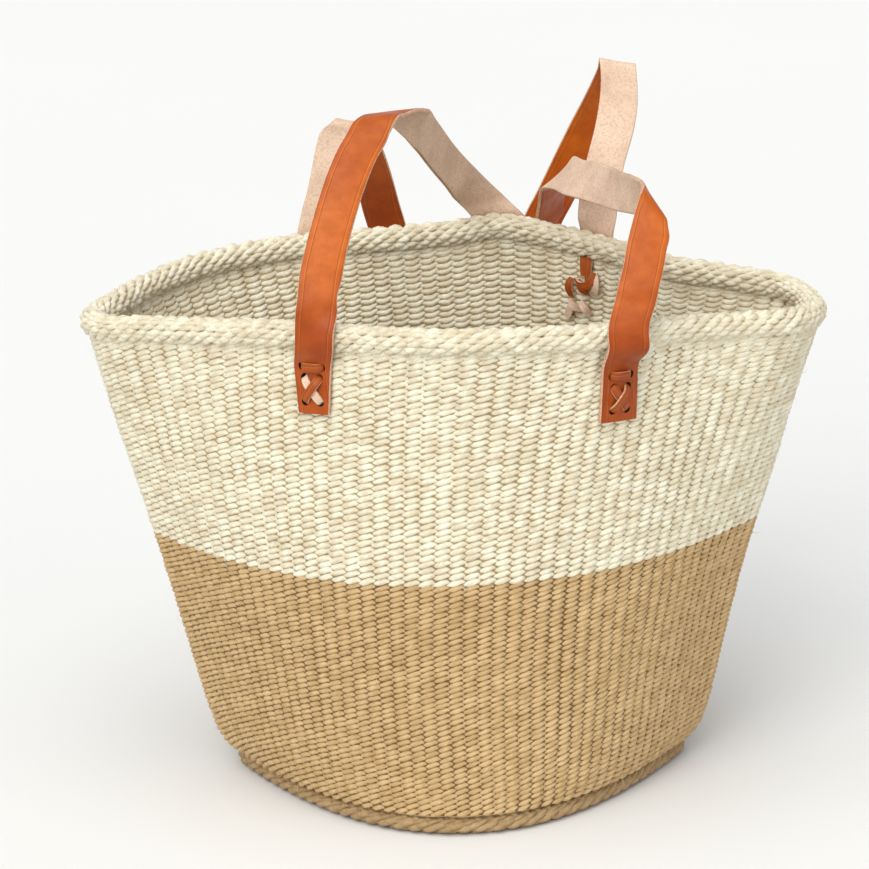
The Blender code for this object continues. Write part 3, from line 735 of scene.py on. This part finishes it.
def wall_core(half, kind, wall, levels, bulge):
    """A thin sheet in the middle of the wall, so that the gaps between stitches are not see-through; its colour is
    painted shade that makes the gaps dark.
    """
    rings = [(wall.ring(t) + wall.frames(t)[1] * bulge(t)[:, None])[::PER_COLUMN] for t in levels]
    bm = bmesh.new()
    place = bm.verts.layers.int.new("place")
    for i, vert in enumerate(bmesh.ops.create_circle(bm, radius=1, segments=len(rings[0]))["verts"]):
        vert[place] = i
        vert.co = rings[0][i]
    edges = list(bm.edges)
    for ring in rings[1:]:
        made = bmesh.ops.extrude_edge_only(bm, edges=edges)["geom"]
        for vert in (item for item in made if isinstance(item, bmesh.types.BMVert)):
            vert.co = ring[vert[place]]
        edges = [item for item in made if isinstance(item, bmesh.types.BMEdge) and len(item.link_faces) == 1]
    bmesh.ops.recalc_face_normals(bm, faces=bm.faces)
    obj = mesh_object(half + "_core", bm, [core_of(bpy.context.scene.kiondo_colours, kind)])
    obj.data.shade_smooth()
    thickness = obj.modifiers.new("thickness", "SOLIDIFY")
    thickness.thickness = CORE_THICKNESS
    thickness.offset = 0
    return hand_over(settle(obj), "basket", [half + "_wall"])


class KIONDO_OT_walls(bpy.types.Operator):
    """Weave the side wall: uprights, then tan rows and cream rows of twined weft"""

    bl_idname = "kiondo.walls"
    bl_label = "Weave walls"

    def execute(self, context):
        weave, colours = context.scene.kiondo_weave, context.scene.kiondo_colours
        count = weave.columns * PER_COLUMN
        wall = Wall(count)
        bulge = undulation(count)
        rng = np.random.default_rng(11)
        tan_rows, cream_rows = ((np.arange(rows) + 0.5) / rows * 0.5 for rows in (weave.tan_rows, weave.cream_rows))
        last_row = 1.004
        for number, levels in enumerate(np.array_split(tan_rows, 3), 1):
            weave_band("lower", "tan", number, wall, levels, bulge, weave.tan_strand, rng)
        for number, levels in enumerate(np.array_split([*(0.5 + cream_rows), last_row], 2), 1):
            weave_band("upper", "cream", number, wall, levels, bulge, weave.cream_strand, rng)
        wall_core("lower", "tan", wall, (0.0, 0.015, 0.04, 0.08, 0.14, 0.22, 0.31, 0.41, 0.5), bulge)
        wall_core("upper", "cream", wall, np.linspace(0.5, 1.0, 9), bulge)
        rings = np.array([wall.ring(t) + wall.frames(t)[1] * bulge(t)[:, None] for t in np.linspace(0.0, 1.0, 24)])
        uprights = [rings[:, i] for i in range(0, count, PER_COLUMN)]
        piece = tubes("uprights", uprights, [UPRIGHT] * len(uprights), sisal("sisal tan", colours.tan), closed=False)
        hand_over(piece, "basket", ["lower_wall"])
        return {"FINISHED"}


def roll_rows(name, ring, roll_radius, plan, look, node, rng, loose=1.0):
    """Rows of weft laid round a roll. Each is its angle above the outside, strand, depth, rise and columns."""
    along = tangents(ring)
    out = units(np.cross(np.array([0.0, 0.0, 1.0]), along))
    if (out * ring).sum() < 0:
        out = -out
    up = np.cross(along, out)
    up = up * np.sign(up[:, 2:3])
    lines, radii = [], []
    for number, (angle, strand, depth, rise, columns, tightness) in enumerate(plan):
        turn = math.radians(angle)
        away = out * math.cos(turn) + up * math.sin(turn)
        across = up * math.cos(turn) - out * math.sin(turn)
        middle = ring + away * (roll_radius - strand - abs(depth))
        row_lines, row_radii = twined_row(
            middle, away, across, columns, strand, depth, rise, rng, tightness, loose,
            drift=number % 2 * BRICK + rng.uniform(-0.1, 0.1),
        )
        lines += row_lines
        radii += row_radii
    piece = tubes(name, lines, radii, look)
    return hand_over(piece, "basket", [node])


class KIONDO_OT_rim(bpy.types.Operator):
    """Plait the roll round the mouth"""

    bl_idname = "kiondo.rim"
    bl_label = "Plait rim"

    def execute(self, context):
        weave, colours = context.scene.kiondo_weave, context.scene.kiondo_colours
        columns = weave.columns
        ring = mouth_ring(ROLL_RADIUS, columns * PER_COLUMN)
        rng = np.random.default_rng(23)
        look = sisal("sisal rim", times(colours.cream, 0.935, 0.94, 0.93))
        finer = columns + 20
        plan = [(80, 0.0024, 0.0017, 0.0012, columns, 0.55)]
        plan += [(angle, 0.0019, 0.0015, 0.0008, finer, 0.50) for angle in (50, 24, -1, -26, -51, -76)]
        plan += [(angle, 0.0018, 0.0014, 0.0009, finer, 0.50) for angle in (107, 131, 155, 179, 203, 227, 251)]
        roll_rows("rim_plait", ring, ROLL_RADIUS + 0.0006, plan, look, "rim_roll", rng, loose=1.9)
        # The heart is coloured with painted shade, so that the gaps of the plait look deep.
        heart = tubes("rim_heart", [ring], [RIM_HEART], core_of(colours, "cream"))
        hand_over(heart, "basket", ["rim_roll"])
        return {"FINISHED"}


class KIONDO_OT_base(bpy.types.Operator):
    """Weave the bottom and the thick braid round it"""

    bl_idname = "kiondo.base"
    bl_label = "Weave base"

    def execute(self, context):
        weave, colours = context.scene.kiondo_weave, context.scene.kiondo_colours
        columns = weave.columns
        rng = np.random.default_rng(31)
        tan = sisal("sisal tan", colours.tan)
        braid = sisal("sisal braid", times(colours.tan, 0.72, 0.70, 0.70), twist=110.0)
        ring = oval(*RIDGE, RIDGE_Z, columns * PER_COLUMN) * np.array([0.992, 0.992, 1.0])
        plan = [
            (74, 0.0018, 0.0013, -0.0016, columns, 0.50), (40, 0.0015, 0.0011, 0.0012, columns, 0.45),
            (6, 0.0021, 0.0013, 0.0010, columns * 3 // 4, 0.30), (-34, 0.0022, 0.0012, 0.0010, columns * 3 // 4, 0.30),
            (-88, 0.0018, 0.0008, 0.0010, columns, 0.30),
            *((angle, 0.0020, 0.0009, 0.0012, columns, 0.30) for angle in (228, 186, 144)),
            (106, 0.0018, 0.0009, 0.0012, columns, 0.30),
        ]
        roll_rows("base_braid", ring, RIDGE_RADIUS, plan, braid, "base_ridge", rng)
        # The heart is coloured with painted shade, so that the gaps of the braid look deep.
        heart = tubes("base_heart", [ring], [BASE_HEART], core_of(colours, "tan"))
        hand_over(heart, "basket", ["base_ridge"])
        lines, radii = [], []
        for row in range(round(DISC[1] / BOTTOM_PITCH)):
            share = 1 - (row + 0.3) * BOTTOM_PITCH / DISC[1]
            length = 2 * math.pi * share * (DISC[0] + DISC[1]) / 2 * 0.94
            here = max(4, 2 * round(length / BOTTOM_STITCH / 2))
            middle = oval(*DISC, DISC_Z, here * PER_COLUMN) * np.array([share, share, 1.0])
            away = np.broadcast_to(np.array([0.0, 0.0, 1.0]), middle.shape)
            across = np.cross(away, tangents(middle))
            row_lines, row_radii = twined_row(middle, away, across, here, 0.0016, 0.0009, 0.0012, rng)
            lines += row_lines
            radii += row_radii
        hand_over(tubes("base_weave", lines, radii, tan), "basket", ["base_disc"])
        return {"FINISHED"}


class KIONDO_OT_hairs(bpy.types.Operator):
    """Loose fibres that stand off the weave"""

    bl_idname = "kiondo.hairs"
    bl_label = "Loose fibres"

    def execute(self, context):
        weave, colours = context.scene.kiondo_weave, context.scene.kiondo_colours
        rng = np.random.default_rng(47)
        wall = Wall(weave.columns * PER_COLUMN)
        lots = {"sisal_tan": [], "sisal_cream": []}
        for _ in range(weave.hairs):
            t = rng.uniform(0.0, 1.0)
            ring, out, up = wall.frames(t)
            i = rng.integers(len(ring))
            along = ring[(i + 1) % len(ring)] - ring[i - 1]
            heading = rng.uniform(0, 2 * math.pi)
            way = units(along) * math.cos(heading) + up[i] * math.sin(heading)
            bend = units(np.cross(way, out[i])) * rng.uniform(-0.35, 0.35)
            length = rng.uniform(0.004, 0.013)
            lift = rng.uniform(0.0002, 0.0028)
            steps = np.linspace(0, 1, 5)[:, None]
            line = ring[i] + out[i] * (WALL_THICK / 2 + lift * np.sin(steps * 2.4)) + way * length * steps
            lots["sisal_tan" if t < 0.5 else "sisal_cream"].append(line + bend * length * steps**2)
        for name, slot, tone in (("tan_hairs", "sisal_tan", times(colours.tan, 1.35, 1.45, 1.7)),
                                 ("cream_hairs", "sisal_cream", times(colours.cream, 1.1, 1.15, 1.25))):
            lines = lots[slot]
            thin = [np.array([1.0, 1.0, 0.9, 0.7, 0.3]) * 0.00010] * len(lines)
            look = sisal(name.replace("_", " "), tone)
            hand_over(tubes(name, lines, thin, look, closed=False, sides=0), "basket")
        return {"FINISHED"}


# Leather pieces.

def ribbon(name, centres, halves, normals, thickness, crown, looks, taper=None):
    """A strip of leather with rounded edges. halves reach from its middle to its inner edge, row by row."""
    tops = [-1.0, -0.975, -0.88, -0.6, -0.3, 0.0, 0.3, 0.6, 0.88, 0.975, 1.0]
    heights = [1.0 if abs(x) < 0.9 else 0.94 if abs(x) < 0.99 else 0.72 for x in tops]
    section = [(x, y, 0) for x, y in zip(tops, heights)]
    section += [(x, -y, 1) for x, y in zip(tops[::-1], heights[::-1])]
    section.append(section[0])
    rows = len(centres)
    around = len(section)
    bm = bmesh.new()
    uv = bm.loops.layers.uv.verify()
    bmesh.ops.create_grid(bm, x_segments=around - 1, y_segments=rows - 1, size=1)
    along = lengths_along(centres)
    widths = np.linalg.norm(halves, axis=1)
    places = {}
    for vert in bm.verts:
        places[vert] = (round((vert.co.x + 1) / 2 * (around - 1)), round((vert.co.y + 1) / 2 * (rows - 1)))
    for face in bm.faces:
        columns = [places[loop.vert][0] for loop in face.loops]
        first = section[min(columns)]
        second = section[max(columns)]
        face.material_index = first[2] if first[2] == second[2] and abs(first[0]) + abs(second[0]) < 1.9 else 2
        for loop in face.loops:
            column, row = places[loop.vert]
            loop[uv].uv = ((section[column][0] + 1) * widths[row], along[row])
    for vert, (column, row) in places.items():
        x, y, _ = section[column]
        height = y * thickness / 2 + crown * (1 - x * x)
        size = 1.0 if taper is None else taper[row]
        vert.co = centres[row] + halves[row] * x * size + normals[row] * height
    bmesh.ops.remove_doubles(bm, verts=bm.verts, dist=1e-6)
    ends = [edge for edge in bm.edges if edge.is_boundary]
    caps = bmesh.ops.edgeloop_fill(bm, edges=ends)["faces"]
    for face in caps:
        face.material_index = 2
    bmesh.ops.recalc_face_normals(bm, faces=bm.faces)
    obj = mesh_object(name, bm, looks)
    obj.data.shade_smooth()
    obj.data.set_sharp_from_angle(angle=math.radians(50))
    return obj


def tab_pairs(wall, side, x_bottom, x_top, z_bottom, foot_width, ease):
    """The edges of a tab: up the outside of the wall, over the rim roll, and turned to lie along the fold.

    ease is how far the strap has already turned to the fold where it passes the roll, from 0 to 1.
    """
    roll = mouth_ring(ROLL_RADIUS, len(wall.top))
    roll_spot, roll_across = point_at(roll, side, x_bottom)
    outward = Vector((roll_across.y, -roll_across.x, 0.0)).normalized()
    if (outward.y > 0) != (side == "back"):
        outward = -outward
    halves = np.linspace(foot_width, max(foot_width, STRAP_WIDTH), 4) / 2
    heights = np.linspace(z_bottom, roll_spot.z - ROLL_RADIUS - 0.009, 4)
    leaning = np.linspace(x_bottom, x_bottom + TAB_LEAN * (x_top - x_bottom), 4)
    pairs = []
    for z, x, half in zip(heights, leaning, halves):
        spot, across, out = wall_frame(wall, side, x, z)
        middle = spot + out * TAB_STANDOFF
        pairs.append((middle - across * half, middle + across * half))
    half = STRAP_WIDTH / 2
    reach = ROLL_RADIUS + TAB_STANDOFF - WALL_THICK / 2
    x_roll = (middle.x + x_top) / 2
    if side == "front":
        axis = Vector((1, 0, 0))
        top = Vector((x_top, FRONT_HINGE.y, FRONT_HINGE.z))
    else:
        axis = (BACK_HINGE_RIGHT - BACK_HINGE_LEFT).normalized()
        top = BACK_HINGE_LEFT + axis * ((x_top - BACK_HINGE_LEFT.x) / axis.x)
    for rise, extra, share in ((-0.002, 0.0004, 0.75), (0.004, -0.0003, 0.75)):
        across = roll_across.lerp(axis, ease * share).normalized()
        away = reach + half * abs(across.dot(outward))
        roll_spot = point_at(roll, side, x_roll - outward.x * away)[0]
        middle = roll_spot + outward * (away + extra) + Vector((0, 0, rise))
        pairs.append((middle - across * half, middle + across * half))
    top = top - Vector((0, 0, HINGE_GAP))
    pairs.append((top - axis * half, top + axis * half))
    return pairs


def edge_pairs(rows):
    """The pairs of points of a table of edges."""
    return in_metres(rows).reshape(-1, 2, 3).tolist()


class Strap:
    """One handle's whole leather strap, from the end of its left tab to the end of its right tab."""

    def __init__(self, side):
        wall = Wall(104)
        left = tab_pairs(wall, *TABS[side + "_left"])
        right = [(b, a) for a, b in tab_pairs(wall, *TABS[side + "_right"])]
        left_riser, right_riser = edge_pairs(RISERS[side + "_left"]), edge_pairs(RISERS[side + "_right"])
        pairs = [*left, *left_riser, *edge_pairs(MIDDLES[side]), *right_riser[::-1], *right[::-1]]
        outer = smooth_through([pair[0] for pair in pairs])
        inner = smooth_through([pair[1] for pair in pairs])
        middle = (outer + inner) / 2
        self.length = lengths_along(middle)[-1]
        rows = round(self.length / STRAP_ROW)
        self.along = np.linspace(0, self.length, rows + 1)
        here = lengths_along(middle)
        outer, inner = at_lengths(outer, self.along, here), at_lengths(inner, self.along, here)
        self.centres = (outer + inner) / 2
        self.halves = (inner - outer) / 2
        ahead = units(np.gradient(self.centres, axis=0))
        grain_side = -1 if side == "front" else 1
        self.normals = units(np.cross(ahead, self.halves)) * grain_side
        self.left_cut = here[(len(left) + len(left_riser) // 2) * PER_SPAN]
        self.right_cut = here[(len(pairs) - 1 - len(right) - len(right_riser) // 2) * PER_SPAN]

    def rows(self, low, high):
        first, last = np.searchsorted(self.along, [low, high])
        return slice(first, last + 1)

    def row_at(self, hand, up):
        """The row of the strap this far above the end of its left or right tab."""
        distance = up if hand == "left" else self.length - up
        return min(len(self.along) - 1, max(0, int(round(distance / self.along[1]))))

    def on_tab(self, hand, across, up, height):
        """A point of a tab: across to +X and up from its end, above the middle of its thickness."""
        row = self.row_at(hand, up)
        to_right = units(self.halves[row]) * (1 if hand == "left" else -1)
        return self.centres[row] + to_right * across + self.normals[row] * height


def punch(piece, places, normals, look):
    """Blind round holes in a strap."""
    bm = bmesh.new()
    for place, normal in zip(places, normals):
        turn = Vector(normal).to_track_quat("Z", "Y").to_matrix().to_4x4()
        bmesh.ops.create_cone(
            bm, cap_ends=True, segments=16, radius1=HOLE_RADIUS, radius2=HOLE_RADIUS, depth=HOLE_DEPTH,
            matrix=Matrix.Translation(Vector(place) + Vector(normal) * 0.0012) @ turn,
        )
    bmesh.ops.recalc_face_normals(bm, faces=bm.faces)
    cutter = mesh_object("holes", bm, [look])
    holes = piece.modifiers.new("holes", "BOOLEAN")
    holes.operation = "DIFFERENCE"
    holes.object = cutter
    holes.solver = "EXACT"
    holes.material_mode = "TRANSFER"
    settle(piece)
    bpy.data.objects.remove(cutter)


# Punched holes, across and up from the middle of the cross, their radius and their depth.
HOLES = ((-0.0045, -0.0065), (0.0045, -0.0065), (-0.0045, 0.0065), (0.0045, 0.0065), (-0.006, BAR_UP), (0.006, BAR_UP))
HOLE_RADIUS = 0.0023
HOLE_DEPTH = 0.004


class KIONDO_OT_handles(bpy.types.Operator):
    """Cut the two leather straps, each as two ends and a loop"""

    bl_idname = "kiondo.handles"
    bl_label = "Leather handles"

    def execute(self, context):
        leather = context.scene.kiondo_leather
        # The floors of the blind holes are painted shade.
        dark = hole_dark("hole shade")
        looks = leathers("strap", context.scene.kiondo_colours.grain)
        for side in ("front", "back"):
            strap = Strap(side)
            parts = (
                ("left", 0.0, strap.left_cut), (None, strap.left_cut, strap.right_cut),
                ("right", strap.right_cut, strap.length),
            )
            for hand, low, high in parts:
                rows = strap.rows(low, high)
                piece = ribbon(
                    f"{side}_{hand}_end" if hand else side + "_loop_strap",
                    strap.centres[rows], strap.halves[rows], strap.normals[rows],
                    leather.strap_thickness, leather.crown, looks,
                )
                if hand:
                    piece.data.materials.append(dark)
                    places = [strap.on_tab(hand, u, CROSS_UP + v, 0.0) for u, v in HOLES]
                    normals = [strap.normals[strap.row_at(hand, CROSS_UP + v)] for u, v in HOLES]
                    punch(piece, places, normals, dark)
                    hand_over(piece, None, [f"{side}_{hand}_tab", f"{side}_{hand}_riser"])
                    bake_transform(piece)
                else:
                    hand_over(piece, None, [side + "_middle"])
                    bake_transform(piece)
        return {"FINISHED"}


def thong_strip(strap, hand, points, half, thick, looks, flesh_up=False):
    """A flat piece of thong through points of a tab, each across, up from the middle of the cross, and off it."""
    line = smooth_through([strap.on_tab(hand, u, CROSS_UP + v, height) for u, v, height in points], per_span=6)
    ahead = units(np.gradient(line, axis=0))
    face = strap.normals[strap.row_at(hand, CROSS_UP)]
    lateral = units(np.cross(face, units(line[-1] - line[0])))
    sideways = units(lateral - ahead * (ahead @ lateral)[:, None])
    normals = np.cross(ahead, sideways)
    if (normals[len(line) // 2] @ face < 0) != flesh_up:
        normals = -normals
    taper = 1 - 0.38 * np.abs(np.linspace(-1, 1, len(line))) ** 2.4
    return ribbon("strip", line, sideways * half, normals, thick, 0.0002, looks, taper)


def arch(start, end, crest):
    """Points of a strip that comes up out of one hole and goes down another."""
    (u0, v0), (u1, v1) = start, end
    steps = ((0.0, -0.0012), (0.03, 0.0008), (0.16, crest * 0.85), (0.5, crest), (0.84, crest * 0.85), (0.97, 0.0008),
             (1.0, -0.0012))
    return [(u0 + (u1 - u0) * share, v0 + (v1 - v0) * share, height) for share, height in steps]


def joined(name, pieces):
    bm = bmesh.new()
    looks = list(pieces[0].data.materials)
    for piece in pieces:
        bm.from_mesh(piece.data)
        bpy.data.objects.remove(piece)
    return mesh_object(name, bm, looks)


# The inside of a lacing: runs behind the wall and a knot on them. Each strip is its points, in millimetres across, up
# from the middle of the cross and off the wall's inside, and whether its flesh side shows.
INSIDE = -0.0088
KNOT = (
    (((-5.2, -8.5, 0), (-5.2, 4, -0.4), (-5.6, 16.5, 0)), True),
    (((5.2, -8.5, 0), (5.2, 4, -0.4), (5.6, 16.5, 0)), True),
    (((-7.5, 14.5, -0.8), (0, 14.5, -1.8), (7.5, 14.5, -0.8)), False),
    (((-6, 3, -1), (-2, 4, -4), (3, 6, -4), (6.5, 9, -1)), True),
    (((-1, 3, -3), (-4, -3, -3), (-7.5, -10, -2)), True),
)
# The knot that shows through the mouth: a band down from the bar's holes, a wrap with a loop at its right, a piece
# down to the left, and a pale lump with a tail.
SEEN_KNOT = (
    (((-4, 26.5, 1), (-3.5, 21, -1.2), (-3, 13.5, -1.2)), True),
    (((1, 26.5, 1), (0.5, 21, -1.4), (0, 12.5, -1.4)), True),
    (((-8.5, 12.5, -1), (-3, 10.5, -3.6), (3, 12.5, -3.4), (4.5, 16.5, -1.2)), True),
    (((4.5, 16.5, -0.5), (6.5, 12.5, -2.5), (5.5, 7.5, -2), (2, 5.5, -0.5)), False),
    (((-6.5, 11.5, -0.8), (-3.5, 6.5, -2.2), (0.5, 5, -0.8)), True),
    (((-11.5, 11.5, -0.6), (-12.5, 6.5, -2.4), (-11.5, 0.5, -0.8)), True),
    (((-12.5, -1, -0.8), (-8.5, -3, -4.2), (-4.5, -6, -1)), False),
    (((1, -7.5, -0.6), (-1, -3.5, -3.6), (-5, -1, -1)), False),
    (((-11, -3.5, -1), (-12.5, -7.5, -1.4), (-14.5, -11.5, -0.6)), False),
)


class KIONDO_OT_lacing(bpy.types.Operator):
    """Lace each tab on: a bar and a cross outside, runs and a knot inside"""

    bl_idname = "kiondo.lacing"
    bl_label = "Lace tabs"

    def execute(self, context):
        leather = context.scene.kiondo_leather
        half, thick = leather.thong_width / 2, leather.thong_thickness
        looks = leathers("thong", context.scene.kiondo_colours.thong)
        for side in ("front", "back"):
            strap = Strap(side)
            for hand in ("left", "right"):
                outside = (
                    (arch((-0.0064, BAR_UP), (0.0064, BAR_UP), 0.0034), False),
                    (arch((-0.0049, 0.0070), (0.0049, -0.0070), 0.0027), hand == "left"),
                    (arch((-0.0049, -0.0070), (0.0049, 0.0070), 0.0042), False),
                )
                strips = [thong_strip(strap, hand, points, half, thick, looks, flesh) for points, flesh in outside]
                inside = SEEN_KNOT if (side, hand) == ("back", "right") else KNOT
                for points, flesh in inside:
                    points = in_metres(points) + np.array([0.0, 0.0, INSIDE])
                    strips.append(thong_strip(strap, hand, points, half, thick, looks, flesh))
                lace = joined(f"{side}_{hand}_lacing", strips)
                hand_over(lace, "basket", [f"{side}_{hand}_lace"])
        return {"FINISHED"}


# Stage.

def sun_lamp(name, way, strength, angle):
    """A soft, slightly warm lamp that shines along way."""
    light = bpy.data.lights.new(name, "SUN")
    light.energy = strength
    light.color = (1.0, 0.99, 0.96)
    light.angle = math.radians(angle)
    lamp = link(bpy.data.objects.new(name, light))
    lamp.rotation_euler = Vector(way).to_track_quat("-Z", "Y").to_euler()
    return lamp


class KIONDO_OT_stage(bpy.types.Operator):
    """Set up the floor, the lights and the camera"""

    bl_idname = "kiondo.stage"
    bl_label = "Stage"

    def execute(self, context):
        scene = context.scene
        data = bpy.data.cameras.new("camera")
        data.lens = CAMERA_LENS
        data.clip_end = 50
        camera = link(bpy.data.objects.new("camera", data))
        sight = (CAMERA_AIM - CAMERA_PLACE).normalized()
        right = sight.cross(Vector((0, 0, 1))).normalized()
        up = right.cross(sight)
        turned_right = right * math.cos(CAMERA_ROLL) + up * math.sin(CAMERA_ROLL)
        turned_up = up * math.cos(CAMERA_ROLL) - right * math.sin(CAMERA_ROLL)
        axes = Matrix((turned_right, turned_up, -sight)).transposed()
        camera.matrix_world = Matrix.Translation(CAMERA_PLACE) @ axes.to_4x4()
        scene.camera = camera
        scene.view_settings.view_transform = "Standard"
        world = bpy.data.worlds.new("studio")
        world.use_nodes = True
        background = world.node_tree.nodes["Background"]
        background.inputs["Color"].default_value = (0.95, 0.98, 1.04, 1.0)
        background.inputs["Strength"].default_value = 0.58
        scene.world = world
        bm = bmesh.new()
        bmesh.ops.create_grid(bm, x_segments=2, y_segments=2, size=6.0)
        mesh_object("floor", bm, [floor_material("pale floor", scene.kiondo_colours.floor)])
        sun_lamp("key", (0.36, 0.76, -0.54), 1.7, 45)
        sun_lamp("fill", (-0.65, 0.65, -0.20), 0.5, 60)
        sun_lamp("top", (0.10, 0.25, -0.96), 1.35, 60)
        return {"FINISHED"}


class KIONDO_PT_panel(bpy.types.Panel):
    bl_label = "Kiondo basket"
    bl_idname = "KIONDO_PT_panel"
    bl_space_type = "VIEW_3D"
    bl_region_type = "UI"
    bl_category = "Kiondo"

    def draw(self, context):
        layout = self.layout
        for holder in (context.scene.kiondo_weave, context.scene.kiondo_leather, context.scene.kiondo_colours):
            box = layout.box()
            for name in holder.__annotations__:
                box.prop(holder, name)
        for maker in OPERATORS:
            layout.operator(maker.bl_idname)


OPERATORS = (
    KIONDO_OT_stage, KIONDO_OT_walls, KIONDO_OT_rim, KIONDO_OT_base, KIONDO_OT_hairs, KIONDO_OT_handles,
    KIONDO_OT_lacing,
)
GROUPS = {"kiondo_weave": KiondoWeave, "kiondo_leather": KiondoLeather, "kiondo_colours": KiondoColours}


def register():
    for group in GROUPS.values():
        bpy.utils.register_class(group)
    for name, group in GROUPS.items():
        setattr(bpy.types.Scene, name, PointerProperty(type=group))
    for maker in (*OPERATORS, KIONDO_PT_panel):
        bpy.utils.register_class(maker)


def unregister():
    for maker in (KIONDO_PT_panel, *reversed(OPERATORS)):
        bpy.utils.unregister_class(maker)
    for name, group in GROUPS.items():
        delattr(bpy.types.Scene, name)
        bpy.utils.unregister_class(group)


def main():
    register()
    for maker in OPERATORS:
        area, name = maker.bl_idname.split(".")
        getattr(getattr(bpy.ops, area), name)()


if __name__ == "__main__":
    main()
